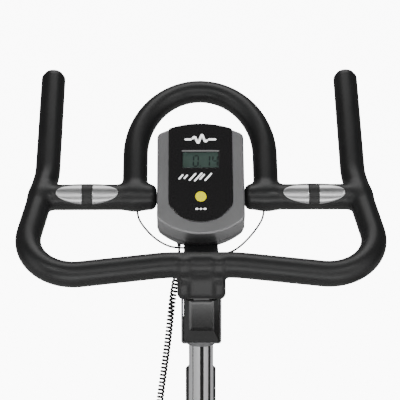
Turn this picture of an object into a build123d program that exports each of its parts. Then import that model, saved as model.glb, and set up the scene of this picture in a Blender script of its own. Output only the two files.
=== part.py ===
"""Exercise bike cockpit: padded looped handlebar, console and clamped fore-aft slider on a post.

Frame: millimetres, +Z up, origin at the centre of the post's lower end, +X to the rider's right,
+Y forwards, away from the rider.
"""

from build123d import *
from math import cos, radians, sin, tan
import os

os.makedirs("parts", exist_ok=True)

# ---------------------------------------------------------------- driving dimensions
POST_D = 31.8
POST_WALL = 2.0
POST_LEN = 326.0
BAR_D = 25.4
BAR_WALL = 1.8
SKIN_T = 3.6
HALF_SPAN = 232.0  # nominal corner of the lower loop, from the centre plane
HORN_X = 201.0  # shoulders and horns, from the centre plane
CONSOLE_W = 113.0
CONSOLE_LEN = 159.0
CONSOLE_T = 38.0
SLIDER_W = 45.0
SLIDER_H = 60.0
SLIDER_LEN = 170.0
SLIDER_WALL = 2.5

# ---------------------------------------------------------------- fits
GAP = 0.3  # between parts of different bodies
SHAFT_FIT = 0.06  # radial running clearance of the stud

# ---------------------------------------------------------------- derived places
BAR_R = BAR_D / 2
SKIN_R = BAR_R + SKIN_T
POST_R = POST_D / 2
BAR_C = Vector(0, -45, POST_LEN + 108)  # centre of the lower bar on the centre plane


def at(x, y, z):
    """A place given from the centre of the lower bar."""
    return BAR_C + Vector(x, y, z)


# ---------------------------------------------------------------- paths
CROSS_Y, CROSS_Z = 101.0, 62.5  # crossbar axis from the lower bar
KINK = at(45, 0, 0)
CORNER = at(HALF_SPAN, -23.4, -13.5)
SHOULDER = at(HORN_X, 133, 85)
HORN_TIP = at(HORN_X - 1, 256, 197)
LOOP_RADII = (180.0, 60.0, 90.0)
TIP_ROUND = 10.0
ARCH_X = 85.5  # half the arch's width, on the tube's centreline
ARCH_START = 4.0  # the legs begin just off the crossbar's axis
ARCH_LEG = 67.0
ARCH_RISE = 107.6
ARCH_TILT = 42.0
STUB_X = 58.5  # crossbar's rounded inner end
ARCH_PLANE = Plane(
    origin=at(0, CROSS_Y, CROSS_Z),
    x_dir=(1, 0, 0),
    z_dir=(0, -sin(radians(ARCH_TILT)), cos(radians(ARCH_TILT))),
)


def mirrored(point):
    """The same place on the other side of the centre plane."""
    return Vector(-point.X, point.Y, point.Z)


def mirror_part(part):
    """A private copy of a part on the other side of the centre plane."""
    return mirror(part, about=Plane.YZ, mode=Mode.PRIVATE)


def loop_rod(radius, bore=0.0):
    """A rod or tube along the whole outer loop, from horn tip to horn tip."""
    half = [KINK, CORNER, SHOULDER, HORN_TIP]
    points = [mirrored(p) for p in reversed(half)] + half
    radii = list(reversed(LOOP_RADII)) + list(LOOP_RADII)
    with BuildPart() as rod:
        with BuildLine() as path:
            FilletPolyline(*points, radius=radii)
        with BuildSketch(Plane(origin=path.wire() @ 0, z_dir=path.wire() % 0)):
            Circle(radius)
            if bore:
                Circle(bore, mode=Mode.SUBTRACT)
        sweep(path=path.wire())
    return rod.part


def arch_rod(radius, bore=0.0):
    """A rod or tube along the arch, from crossbar axis to crossbar axis."""
    with BuildPart() as rod:
        with BuildLine(ARCH_PLANE) as path:
            Line((ARCH_X, ARCH_START), (ARCH_X, ARCH_LEG))
            EllipticalCenterArc((0, ARCH_LEG), ARCH_X, ARCH_RISE, start_angle=0, arc_size=180)
            Line((-ARCH_X, ARCH_LEG), (-ARCH_X, ARCH_START))
        with BuildSketch(Plane(origin=path.wire() @ 0, z_dir=path.wire() % 0)):
            Circle(radius)
            if bore:
                Circle(bore, mode=Mode.SUBTRACT)
        sweep(path=path.wire())
    return rod.part


def cross_rod(radius, inner_x, outer_x=HORN_X + 4.0):
    """A solid rod along the right crossbar's axis."""
    with BuildPart() as rod:
        with BuildSketch(Plane(origin=at(inner_x, CROSS_Y, CROSS_Z), z_dir=(1, 0, 0))):
            Circle(radius)
        extrude(amount=outer_x - inner_x)
    return rod.part


loop_steel = loop_rod(BAR_R)
loop_skin = loop_rod(SKIN_R)
arch_steel = arch_rod(BAR_R)
arch_skin = arch_rod(SKIN_R)
cross_steel = cross_rod(BAR_R, STUB_X + SKIN_T)
cross_skin = cross_rod(SKIN_R, STUB_X)

# ---------------------------------------------------------------- post and sleeve
LINER_T = 0.9
SLEEVE_WALL = 2.0
SLEEVE_LEN = 105.0
SLEEVE_Y0 = BAR_C.Y + 12.0  # rear mouth
SLEEVE_Z0 = POST_LEN
SLIDE_SIDE = GAP + LINER_T + SLEEVE_WALL
SLEEVE_W = SLIDER_W + 2 * SLIDE_SIDE
SLEEVE_H = SLIDER_H + 2 * SLIDE_SIDE
SLIDER_CZ = SLEEVE_Z0 + SLIDE_SIDE + SLIDER_H / 2
SLOT_W = 24.0  # in the sleeve's top, for the bracket's foot
SLOT_LEN = 90.0
COLLAR_D = 41.0
COLLAR_H = 9.0
CLAMP_Y = 38.0
PAD_D = 19.4
PAD_T = 4.0
PAD_TRAVEL = 3.0
STUD_D = 12.0
STUD_TIP_D = 7.9
BOSS_D = 28.0
BOSS_H = 26.0
KNOB_D = 40.0
KNOB_H = 56.0
KNOB_TOP = 272.0
HOLE_D = 9.0
HOLE_PITCH = 25.0
HOLES = 7
SEAT_R = POST_R - 0.4  # the post is turned down a little where the collar sits

with BuildPart() as post_tube:
    with BuildSketch():
        Circle(POST_R)
        Circle(POST_R - POST_WALL, mode=Mode.SUBTRACT)
    extrude(amount=POST_LEN - COLLAR_H)
    with BuildSketch(Plane.XY.offset(POST_LEN - COLLAR_H)):
        Circle(SEAT_R)
        Circle(POST_R - POST_WALL, mode=Mode.SUBTRACT)
    extrude(amount=COLLAR_H)
    with BuildSketch(Plane.XZ.offset(-POST_R - 1)):
        with Locations(*[(0, 21 + i * HOLE_PITCH) for i in range(HOLES)]):
            Circle(HOLE_D / 2)
    extrude(amount=POST_R, mode=Mode.SUBTRACT)
    chamfer(post_tube.edges().group_by(Axis.Z)[0].filter_by(GeomType.CIRCLE).sort_by(Edge.length)[:1], 0.6)
post_tube.part.label = "post_tube"

with BuildPart() as post_collar:
    with BuildSketch(Plane.XY.offset(POST_LEN - COLLAR_H)):
        Circle(COLLAR_D / 2)
        Circle(SEAT_R, mode=Mode.SUBTRACT)
    extrude(amount=COLLAR_H)
    chamfer(post_collar.edges().group_by(Axis.Z)[0].sort_by(Edge.length)[-1:], 1.2)
post_collar.part.label = "post_collar"


def rear_plane(y):
    """A sketch plane across the slider: x to the right, y up, growing forwards."""
    return Plane(origin=(0, y, SLIDER_CZ), x_dir=(-1, 0, 0), z_dir=(0, 1, 0))


def channel(y0, length, width, height, wall, corner):
    """A rectangular tube along Y, open along the top slot, drilled for the clamp pad."""
    with BuildPart() as tube:
        with BuildSketch(rear_plane(y0)):
            RectangleRounded(width, height, corner)
            RectangleRounded(width - 2 * wall, height - 2 * wall, max(corner - wall, 0.6), mode=Mode.SUBTRACT)
        extrude(amount=length)
        with Locations((0, SLEEVE_Y0 + SLOT_LEN / 2, SLIDER_CZ + height / 2)):
            Box(SLOT_W, SLOT_LEN + 4, 4 * wall, mode=Mode.SUBTRACT)
        with Locations((0, CLAMP_Y, SLIDER_CZ - height / 2)):
            Cylinder(PAD_D / 2 + GAP, 4 * wall, mode=Mode.SUBTRACT)
    return tube.part


with BuildPart() as slider_sleeve:
    add(channel(SLEEVE_Y0, SLEEVE_LEN, SLEEVE_W, SLEEVE_H, SLEEVE_WALL, 4.0))
slider_sleeve.part.label = "slider_sleeve"

with BuildPart() as sleeve_liner:
    liner = (SLEEVE_W - 2 * SLEEVE_WALL, SLEEVE_H - 2 * SLEEVE_WALL)
    add(channel(SLEEVE_Y0 + 2, SLEEVE_LEN - 4, liner[0], liner[1], LINER_T, 2.0))
sleeve_liner.part.label = "sleeve_liner"

with BuildPart() as clamp_nut:
    with BuildSketch(Plane((0, CLAMP_Y, SLEEVE_Z0 - BOSS_H))):
        Circle(BOSS_D / 2)
        Circle(STUD_D / 2 + SHAFT_FIT, mode=Mode.SUBTRACT)
    extrude(amount=BOSS_H)
    with Locations((0, CLAMP_Y, SLEEVE_Z0)):
        Cylinder(PAD_D / 2 + GAP, 2 * (PAD_TRAVEL + 2.4), mode=Mode.SUBTRACT)
    add(post_collar.part, mode=Mode.SUBTRACT)
    chamfer(clamp_nut.edges().group_by(Axis.Z)[0].sort_by(Edge.length)[-1:], 1.5)
clamp_nut.part.label = "clamp_nut"

# ---------------------------------------------------------------- clamp
PAD_TOP = SLIDER_CZ - SLIDER_H / 2 - GAP
PAD_Z0 = PAD_TOP - PAD_T
with BuildPart() as clamp_pad:
    with BuildSketch(Plane((0, CLAMP_Y, PAD_Z0))):
        Circle(PAD_D / 2)
    extrude(amount=PAD_T)
    with Locations((0, CLAMP_Y, PAD_Z0)):
        Cylinder(STUD_TIP_D / 2 + SHAFT_FIT, 5.0, mode=Mode.SUBTRACT)
    chamfer(clamp_pad.edges().group_by(Axis.Z)[-1], 0.5)
clamp_pad.part.label = "clamp_pad"

STUD_Z0 = KNOB_TOP - KNOB_H + 12
with BuildPart() as knob_stud:
    with BuildSketch(Plane((0, CLAMP_Y, STUD_Z0))):
        Circle(STUD_D / 2)
    extrude(amount=PAD_Z0 - GAP - STUD_Z0)
    with BuildSketch(Plane((0, CLAMP_Y, PAD_Z0 - GAP))):
        Circle(STUD_TIP_D / 2)
    extrude(amount=2.5)
knob_stud.part.label = "knob_stud"

FLUTES = 8
CAP_D = 26.0
CAP_T = 2.5
with BuildPart() as knob_grip:
    with BuildSketch(Plane((0, CLAMP_Y, KNOB_TOP - KNOB_H))):
        Circle(KNOB_D / 2)
    extrude(amount=KNOB_H)
    chamfer(knob_grip.edges().group_by(Axis.Z)[-1], 5.0)
    fillet(knob_grip.edges().group_by(Axis.Z)[0], 3.0)
    with BuildSketch(Plane((0, CLAMP_Y, KNOB_TOP - KNOB_H))):
        with PolarLocations(KNOB_D / 2 + 2.2, FLUTES, start_angle=22.5):
            Circle(4.0)
    extrude(amount=KNOB_H - 14, mode=Mode.SUBTRACT)
    with BuildSketch(Plane((0, CLAMP_Y, STUD_Z0))):
        Circle(STUD_D / 2)
    extrude(amount=KNOB_H, mode=Mode.SUBTRACT)
    with BuildSketch(Plane((0, CLAMP_Y, KNOB_TOP - KNOB_H))):
        Circle(CAP_D / 2)
    extrude(amount=CAP_T, mode=Mode.SUBTRACT)
knob_grip.part.label = "knob_grip"

with BuildPart() as knob_cap:
    with BuildSketch(Plane((0, CLAMP_Y, KNOB_TOP - KNOB_H))):
        Circle(CAP_D / 2)
    extrude(amount=CAP_T)
    fillet(knob_cap.edges().group_by(Axis.Z)[0], 0.8)
knob_cap.part.label = "knob_cap"

# ---------------------------------------------------------------- slider
SLIDER_Y0 = BAR_C.Y + 8.0
PLUG_SIDE = 7.0  # bevel widths of the rear plug
PLUG_BOTTOM = 18.0
PLUG_TOP = 1.5
PLUG_DEPTH = 8.0
SPIGOT_LEN = 18.0
with BuildPart() as slider_tube:
    with BuildSketch(rear_plane(SLIDER_Y0)):
        RectangleRounded(SLIDER_W, SLIDER_H, 2.5)
        RectangleRounded(SLIDER_W - 2 * SLIDER_WALL, SLIDER_H - 2 * SLIDER_WALL, 1.0, mode=Mode.SUBTRACT)
    extrude(amount=SLIDER_LEN)
slider_tube.part.label = "slider_tube"


def spigot(y, direction):
    """The part of an end plug that fills the slider tube's bore."""
    with BuildPart() as block:
        with BuildSketch(Plane(origin=(0, y, SLIDER_CZ), x_dir=(1, 0, 0), z_dir=(0, direction, 0))):
            RectangleRounded(SLIDER_W - 2 * SLIDER_WALL, SLIDER_H - 2 * SLIDER_WALL, 1.0)
            RectangleRounded(SLIDER_W - 14, SLIDER_H - 14, 1.0, mode=Mode.SUBTRACT)
        extrude(amount=SPIGOT_LEN)
    return block.part


with BuildPart() as slider_rear_plug:
    with BuildSketch(rear_plane(SLIDER_Y0)):
        RectangleRounded(SLIDER_W, SLIDER_H, 2.5)
    face_h = SLIDER_H - PLUG_BOTTOM - PLUG_TOP
    with BuildSketch(rear_plane(SLIDER_Y0 - PLUG_DEPTH)):
        with Locations((0, (PLUG_BOTTOM - PLUG_TOP) / 2)):
            RectangleRounded(SLIDER_W - 2 * PLUG_SIDE, face_h, 1.5)
    loft()
    add(spigot(SLIDER_Y0, 1))
slider_rear_plug.part.label = "slider_rear_plug"

with BuildPart() as slider_front_plug:
    with BuildSketch(rear_plane(SLIDER_Y0 + SLIDER_LEN)):
        RectangleRounded(SLIDER_W, SLIDER_H, 2.5)
    extrude(amount=3.0)
    chamfer(slider_front_plug.faces().sort_by(Axis.Y)[-1].edges(), 1.5)
    add(spigot(SLIDER_Y0 + SLIDER_LEN, -1))
slider_front_plug.part.label = "slider_front_plug"

# ---------------------------------------------------------------- handlebar steel
with BuildPart() as bar_main_tube:
    add(loop_rod(BAR_R, BAR_R - BAR_WALL))
bar_main_tube.part.label = "bar_main_tube"

with BuildPart() as crossbar_tube_right:
    add(cross_steel)
    with BuildSketch(Plane(origin=at(0, CROSS_Y, CROSS_Z), z_dir=(1, 0, 0))):
        Circle(BAR_R - BAR_WALL)
    extrude(amount=HORN_X + 20, mode=Mode.SUBTRACT)
    add(loop_steel, mode=Mode.SUBTRACT)
    with Locations(at(ARCH_X - 3, CROSS_Y, CROSS_Z - BAR_R)):
        Cylinder(2.5, 8.0, mode=Mode.SUBTRACT)
crossbar_tube_right.part.label = "crossbar_tube_right"

with BuildPart() as crossbar_tube_left:
    add(mirror_part(crossbar_tube_right.part))
crossbar_tube_left.part.label = "crossbar_tube_left"

with BuildPart() as bar_arch_tube:
    add(arch_rod(BAR_R, BAR_R - BAR_WALL))
    add(cross_steel, mode=Mode.SUBTRACT)
    add(mirror_part(cross_steel), mode=Mode.SUBTRACT)
bar_arch_tube.part.label = "bar_arch_tube"

# ---------------------------------------------------------------- bracket under the bar
BRACKET_W = 59.0
CHEEK_X = 21.0
CHEEK_W = 10.0
FOOT_W = 20.0
SLEEVE_TOP = SLEEVE_Z0 + SLEEVE_H
SLIDER_TOP = SLIDER_CZ + SLIDER_H / 2
FOOT_Y0, FOOT_Y1 = BAR_C.Y - 4.0, BAR_C.Y + 44.0
UNDER = SLEEVE_TOP + GAP + 0.2  # underside of the bracket

with BuildPart() as bracket_core:
    foot_len = FOOT_Y1 - FOOT_Y0
    with Locations((0, FOOT_Y0 + foot_len / 2, (SLIDER_TOP + UNDER) / 2)):
        Box(FOOT_W, foot_len, UNDER - SLIDER_TOP)
    with Locations((0, BAR_C.Y + 1, UNDER + 2.5)):
        Box(2 * CHEEK_X + CHEEK_W, 24, 5.0)
    for side in (-1, 1):
        with Locations((side * CHEEK_X, BAR_C.Y + 1, (UNDER + BAR_C.Z) / 2 - 2)):
            Box(CHEEK_W, 22, BAR_C.Z - UNDER - 4)
    with BuildSketch(Plane.YZ):
        with BuildLine():
            y0, z0 = BAR_C.Y + 10, UNDER
            Polyline((y0, z0), (FOOT_Y1 - 2, z0), (y0, z0 + 26), close=True)
        make_face()
    extrude(amount=3.0, both=True)
    add(loop_steel, mode=Mode.SUBTRACT)
bracket_core.part.label = "bracket_core"

# ---------------------------------------------------------------- hand pulse sensors
PULSE_X = 147.0
PULSE_TILT = 34.0  # facing the rider, above the horizontal
PULSE_LEN = 81.0
HOUSING_LEN = 96.0
HOUSING_T = 1.2
PLATE_T = 0.8
DIVIDER_W = 12.0
PLATE_WRAP = 54.0
PULSE_DIR = (0, -cos(radians(PULSE_TILT)), sin(radians(PULSE_TILT)))


def pulse_sector(inner, outer, length, half_width):
    """A saddle on the right crossbar between two radii, with an elliptical outline."""
    with BuildPart() as saddle:
        with BuildSketch(Plane(origin=at(PULSE_X, CROSS_Y, CROSS_Z), x_dir=(1, 0, 0), z_dir=PULSE_DIR)):
            Ellipse(length / 2, half_width)
        extrude(amount=outer + 2)
        with BuildSketch(Plane(origin=at(PULSE_X - 80, CROSS_Y, CROSS_Z), z_dir=(1, 0, 0))):
            Circle(outer)
            Circle(inner, mode=Mode.SUBTRACT)
        extrude(amount=160, mode=Mode.INTERSECT)
    return saddle.part


plate_half = (SKIN_R + HOUSING_T) * sin(radians(PLATE_WRAP))
with BuildPart() as divider:
    add(pulse_sector(SKIN_R + 0.5, SKIN_R + HOUSING_T + PLATE_T + 0.3, PULSE_LEN, plate_half))
    with BuildSketch(Plane(origin=at(PULSE_X - DIVIDER_W / 2, CROSS_Y, CROSS_Z), z_dir=(1, 0, 0))):
        Circle(SKIN_R + 6)
    extrude(amount=DIVIDER_W, mode=Mode.INTERSECT)

with BuildPart() as pulse_housing_right:
    add(pulse_sector(SKIN_R, SKIN_R + HOUSING_T, HOUSING_LEN, plate_half + 1.5))
    add(divider.part)
pulse_housing_right.part.label = "pulse_housing_right"

with BuildPart() as pulse_plates_right:
    add(pulse_sector(SKIN_R + HOUSING_T, SKIN_R + HOUSING_T + PLATE_T, PULSE_LEN, plate_half))
    with BuildSketch(Plane(origin=at(PULSE_X - DIVIDER_W / 2, CROSS_Y, CROSS_Z), z_dir=(1, 0, 0))):
        Circle(SKIN_R + 6)
    extrude(amount=DIVIDER_W, mode=Mode.SUBTRACT)
pulse_plates_right.part.label = "pulse_plates_right"

with BuildPart() as pulse_housing_left:
    add(mirror_part(pulse_housing_right.part))
pulse_housing_left.part.label = "pulse_housing_left"

with BuildPart() as pulse_plates_left:
    add(mirror_part(pulse_plates_right.part))
pulse_plates_left.part.label = "pulse_plates_left"

# ---------------------------------------------------------------- console
FACE_TILT = 40.5  # the face's normal above the horizontal
TOP_SAG = 14.4
BOTTOM_SAG = 21.5
BEZEL_T = 28.0
WALL = 2.5
PANEL_W = 83.0
PANEL_Y0 = 16.5
PANEL_SAG = 26.0
PANEL_RAISE = 1.0
PANEL_SEAT = 3.6  # width of the lip that the panel sits on
RIM_ROUND = 2.0
WINDOW_W, WINDOW_H, WINDOW_Y = 49.5, 26.0, 107.0
BUTTON_D = 15.0
BUTTON_Y = 52.5
BUTTON_RAISE = 1.6
BUTTON_TRAVEL = 0.8
DOOR_W, DOOR_H, DOOR_Y, DOOR_T = 46.0, 56.0, 96.0, 1.4

face_dir = Vector(0, -cos(radians(FACE_TILT)), sin(radians(FACE_TILT)))
FACE = Plane(origin=at(0, 38.3, 29.7), x_dir=(1, 0, 0), z_dir=face_dir)


def outline(inset):
    """The console's outline, inset all round, as a flat sketch for a plane along the face."""
    half = CONSOLE_W / 2
    with BuildSketch() as shape:
        with BuildLine():
            low = ThreePointArc((-half, BOTTOM_SAG), (0, 0), (half, BOTTOM_SAG))
            right = Line(low @ 1, (half, CONSOLE_LEN - TOP_SAG))
            top = ThreePointArc(right @ 1, (0, CONSOLE_LEN), (-half, CONSOLE_LEN - TOP_SAG))
            Line(top @ 1, low @ 0)
        make_face()
        fillet(shape.vertices(), 5.0)
        if inset:
            offset(amount=-inset)
    return shape.sketch


def panel_outline(inset):
    """The black front panel's outline, which follows the console's top edge."""
    half = PANEL_W / 2
    with BuildSketch() as shape:
        with BuildLine():
            low = ThreePointArc((-half, PANEL_Y0 + PANEL_SAG), (0, PANEL_Y0), (half, PANEL_Y0 + PANEL_SAG))
            right = Line(low @ 1, (half, CONSOLE_LEN - 8.6))
            top = ThreePointArc(right @ 1, (0, CONSOLE_LEN - 1.0), (-half, CONSOLE_LEN - 8.6))
            Line(top @ 1, low @ 0)
        make_face()
        fillet(shape.vertices(), 4.0)
        if inset:
            offset(amount=-inset)
    return shape.sketch


with BuildPart() as console_bezel:
    with BuildSketch(FACE):
        add(outline(0))
    extrude(amount=-BEZEL_T)
    chamfer(console_bezel.faces().sort_by(Axis((0, 0, 0), face_dir))[-1].outer_wire().edges(), RIM_ROUND)
    with BuildSketch(FACE.offset(-WALL)):
        add(outline(WALL))
    extrude(amount=-BEZEL_T, mode=Mode.SUBTRACT)
    with BuildSketch(FACE.offset(-WALL - 2)):
        add(panel_outline(PANEL_SEAT))
    extrude(amount=WALL + 4, mode=Mode.SUBTRACT)
console_bezel.part.label = "console_bezel"

with BuildPart() as console_panel:
    with BuildSketch(FACE):
        add(panel_outline(0))
    extrude(amount=PANEL_RAISE)
    chamfer(console_panel.faces().sort_by(Axis((0, 0, 0), face_dir))[-1].outer_wire().edges(), 0.5)
    with BuildSketch(FACE.offset(-WALL)):
        add(panel_outline(PANEL_SEAT))
    extrude(amount=WALL)
    with BuildSketch(FACE.offset(-WALL)):
        with Locations((0, WINDOW_Y)):
            RectangleRounded(WINDOW_W, WINDOW_H, 1.5)
        with Locations((0, BUTTON_Y)):
            Circle(BUTTON_D / 2)
    extrude(amount=WALL + 3, mode=Mode.SUBTRACT)
console_panel.part.label = "console_panel"

with BuildPart() as lcd_window:
    with BuildSketch(FACE.offset(-WALL)):
        with Locations((0, WINDOW_Y)):
            RectangleRounded(WINDOW_W, WINDOW_H, 1.5)
    extrude(amount=WALL - 1.0)
lcd_window.part.label = "lcd_window"

with BuildPart() as lcd_module:
    with BuildSketch(FACE.offset(-WALL - 5)):
        with Locations((0, WINDOW_Y)):
            Rectangle(WINDOW_W + 6, WINDOW_H + 8)
    extrude(amount=5.0)
lcd_module.part.label = "lcd_module"

PCB_Z = -WALL - 5 - 1.6
with BuildPart() as pcb:
    with BuildSketch(FACE.offset(PCB_Z)):
        with Locations((0, 82)):
            Rectangle(84, 100)
        with Locations(*[(x, y) for x in (-36, 36) for y in (38, 126)]):
            Circle(1.6, mode=Mode.SUBTRACT)
    extrude(amount=1.6)
pcb.part.label = "pcb"

with BuildPart() as button_switch:
    with BuildSketch(FACE.offset(PCB_Z + 1.6)):
        with Locations((0, BUTTON_Y)):
            Rectangle(6, 6)
    extrude(amount=3.2)
button_switch.part.label = "button_switch"

with BuildPart() as mode_button:
    with BuildSketch(FACE.offset(-WALL + 0.2)):
        with Locations((0, BUTTON_Y)):
            Circle(BUTTON_D / 2 - GAP)
    extrude(amount=WALL - 0.2 + PANEL_RAISE + BUTTON_RAISE)
    fillet(mode_button.edges().sort_by(Axis((0, 0, 0), face_dir))[-1:], 1.0)
    with BuildSketch(FACE.offset(PCB_Z + 1.6 + 3.2 + GAP + BUTTON_TRAVEL)):
        with Locations((0, BUTTON_Y)):
            Circle(1.8)
    extrude(amount=3.0)
mode_button.part.label = "mode_button"

TAPER = 8.0  # how far the rear shell's back is inset


def shell_block(inset, near, far):
    """The rear shell's outer shape or its cavity, between two depths behind the face."""
    with BuildPart() as block:
        with BuildSketch(FACE.offset(-near)):
            add(outline(inset))
        with BuildSketch(FACE.offset(-far)):
            add(outline(inset + TAPER))
        loft()
    return block.part


with BuildPart() as console_rear_shell:
    add(shell_block(0, BEZEL_T, CONSOLE_T))
    add(shell_block(WALL, BEZEL_T, CONSOLE_T - WALL), mode=Mode.SUBTRACT)
    with BuildSketch(FACE.offset(-CONSOLE_T - 1)):
        with Locations((0, DOOR_Y)):
            Rectangle(DOOR_W, DOOR_H)
    extrude(amount=DOOR_T + 1, mode=Mode.SUBTRACT)
    with BuildSketch(FACE.offset(-CONSOLE_T - 1)):
        with Locations((0, DOOR_Y)):
            Rectangle(DOOR_W - 5, DOOR_H - 5)
    extrude(amount=WALL + 2, mode=Mode.SUBTRACT)
console_rear_shell.part.label = "console_rear_shell"

with BuildPart() as battery_door:
    with BuildSketch(FACE.offset(-CONSOLE_T)):
        with Locations((0, DOOR_Y)):
            RectangleRounded(DOOR_W - 2 * GAP, DOOR_H - 2 * GAP, 1.0)
    extrude(amount=DOOR_T - GAP)
    with BuildSketch(FACE.offset(-CONSOLE_T)):
        with Locations(*[(0, DOOR_Y + 14 + 3 * i) for i in range(4)]):
            Rectangle(18, 1.2)
    extrude(amount=0.5, mode=Mode.SUBTRACT)
battery_door.part.label = "battery_door"

CELL_D = 10.5
CELL_LEN = 44.0
CELL_Z = -CONSOLE_T + WALL + 1 + CELL_D / 2
with BuildPart() as batteries:
    for x in (-CELL_D / 2 - 1, CELL_D / 2 + 1):
        with BuildSketch(Plane(origin=FACE.from_local_coords((x, DOOR_Y - CELL_LEN / 2, CELL_Z)), z_dir=FACE.y_dir)):
            Circle(CELL_D / 2)
        extrude(amount=CELL_LEN - 1.5)
        with BuildSketch(Plane(origin=FACE.from_local_coords((x, DOOR_Y + CELL_LEN / 2 - 1.5, CELL_Z)), z_dir=FACE.y_dir)):
            Circle(1.9)
        extrude(amount=1.5)
batteries.part.label = "batteries"

with BuildPart() as battery_cradle:
    for width, height, depth in ((DOOR_W + 2, DOOR_H + 2, 1.2), (2 * CELL_D + 8, CELL_LEN + 6, CELL_D + 3)):
        with BuildSketch(FACE.offset(WALL - CONSOLE_T)):
            with Locations((0, DOOR_Y)):
                Rectangle(width, height)
        extrude(amount=depth)
    with BuildSketch(FACE.offset(WALL - CONSOLE_T)):
        with Locations((0, DOOR_Y)):
            Rectangle(2 * CELL_D + 4, CELL_LEN + 1)
    extrude(amount=CELL_D + 1.4, mode=Mode.SUBTRACT)
battery_cradle.part.label = "battery_cradle"

# ---------------------------------------------------------------- console neck
NECK_W = 44.0
TAB_W = 30.0
TAB_LEN = 44.0
with BuildPart() as console_neck:
    back = [FACE.from_local_coords((0, y, -CONSOLE_T - z)) - BAR_C for y, z in ((3, 0), (TAB_LEN, 0), (TAB_LEN, 4), (6, 4))]
    arm = [(9, -9), (9, 8.0), (back[0].Y - 5, 8.0)]
    arm += [(p.Y, p.Z) for p in back] + [(back[3].Y - 2, -8), (back[3].Y - 12, -10)]
    with BuildSketch(Plane.YZ):
        with BuildLine():
            Polyline(*[(BAR_C.Y + y, BAR_C.Z + z) for y, z in arm], close=True)
        make_face()
    extrude(amount=NECK_W / 2, both=True)
    with BuildSketch(Plane.XY.offset(BAR_C.Z + 11)):
        for side in (-1, 1):
            with Locations((side * (TAB_W / 2 + 10), BAR_C.Y + 80)):
                Rectangle(20, 60)
    extrude(amount=60, mode=Mode.SUBTRACT)
    add(loop_steel, mode=Mode.SUBTRACT)
    add(bracket_core.part, mode=Mode.SUBTRACT)
console_neck.part.label = "console_neck"


with BuildPart() as neck_screws:
    for y in (18.0, 36.0):
        for x in (-9.0, 9.0):
            with BuildSketch(FACE.offset(-CONSOLE_T - 4)):
                with Locations((x, y)):
                    Circle(3.4)
            extrude(amount=-2.0)
neck_screws.part.label = "neck_screws"

with BuildPart() as console_screws:
    for x, y in ((-42, 30), (42, 30), (-42, 134), (42, 134)):
        with BuildSketch(FACE.offset(-CONSOLE_T)):
            with Locations((x, y)):
                Circle(3.0)
        extrude(amount=-1.2)
console_screws.part.label = "console_screws"

# ---------------------------------------------------------------- skins
LOWER_X = 130.0  # where the lower bar's skin meets the side skins
HORN_DIR = (HORN_TIP - SHOULDER).normalized()

with BuildPart() as skin_bracket:
    with BuildSketch(Plane.XY.offset(UNDER + 0.2)):
        with Locations((0, BAR_C.Y)):
            RectangleRounded(BRACKET_W, 32.0, 9.0)
    extrude(amount=BAR_C.Z - UNDER - 8)
    fillet(skin_bracket.edges().group_by(Axis.Z)[0], 4.0)
    with Locations((0, BAR_C.Y - 17, UNDER + 12)):
        Box(22, 10, 40, mode=Mode.SUBTRACT)
    add(loop_skin, mode=Mode.SUBTRACT)
    add(bracket_core.part, mode=Mode.SUBTRACT)
    add(console_neck.part, mode=Mode.SUBTRACT)
skin_bracket.part.label = "skin_bracket"

with BuildPart() as skin_lower_bar:
    add(loop_skin)
    split(bisect_by=Plane.YZ.offset(LOWER_X), keep=Keep.BOTTOM)
    split(bisect_by=Plane.YZ.offset(-LOWER_X), keep=Keep.TOP)
    add(loop_steel, mode=Mode.SUBTRACT)
    add(bracket_core.part, mode=Mode.SUBTRACT)
    add(console_neck.part, mode=Mode.SUBTRACT)
skin_lower_bar.part.label = "skin_lower_bar"

with BuildPart() as skin_side_right:
    add(loop_skin)
    split(bisect_by=Plane.YZ.offset(LOWER_X), keep=Keep.TOP)
    with BuildSketch(Plane(origin=HORN_TIP, z_dir=HORN_DIR)):
        Circle(SKIN_R)
    extrude(amount=SKIN_T + 3)
    fillet(skin_side_right.edges().sort_by(Axis((0, 0, 0), HORN_DIR))[-1:], SKIN_T + 2.4)
    add(loop_steel, mode=Mode.SUBTRACT)
    add(cross_steel, mode=Mode.SUBTRACT)
skin_side_right.part.label = "skin_side_right"

with BuildPart() as skin_side_left:
    add(mirror_part(skin_side_right.part))
skin_side_left.part.label = "skin_side_left"

with BuildPart() as skin_crossbar_right:
    add(cross_skin)
    fillet(skin_crossbar_right.edges().group_by(Axis.X)[0], TIP_ROUND)
    add(cross_steel, mode=Mode.SUBTRACT)
    add(loop_skin, mode=Mode.SUBTRACT)
    add(arch_steel, mode=Mode.SUBTRACT)
    with Locations(at(ARCH_X - 3, CROSS_Y, CROSS_Z - SKIN_R)):
        Cylinder(2.5, 14.0, mode=Mode.SUBTRACT)
skin_crossbar_right.part.label = "skin_crossbar_right"

with BuildPart() as skin_crossbar_left:
    add(mirror_part(skin_crossbar_right.part))
skin_crossbar_left.part.label = "skin_crossbar_left"

with BuildPart() as skin_arch:
    add(arch_skin)
    add(arch_steel, mode=Mode.SUBTRACT)
    add(cross_skin, mode=Mode.SUBTRACT)
    add(mirror_part(cross_skin), mode=Mode.SUBTRACT)
skin_arch.part.label = "skin_arch"

# ---------------------------------------------------------------- cords
WIRE_D = 2.0
LEAD_D = 3.0
COIL_D = 8.5
SENSOR_X = -28.0


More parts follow.
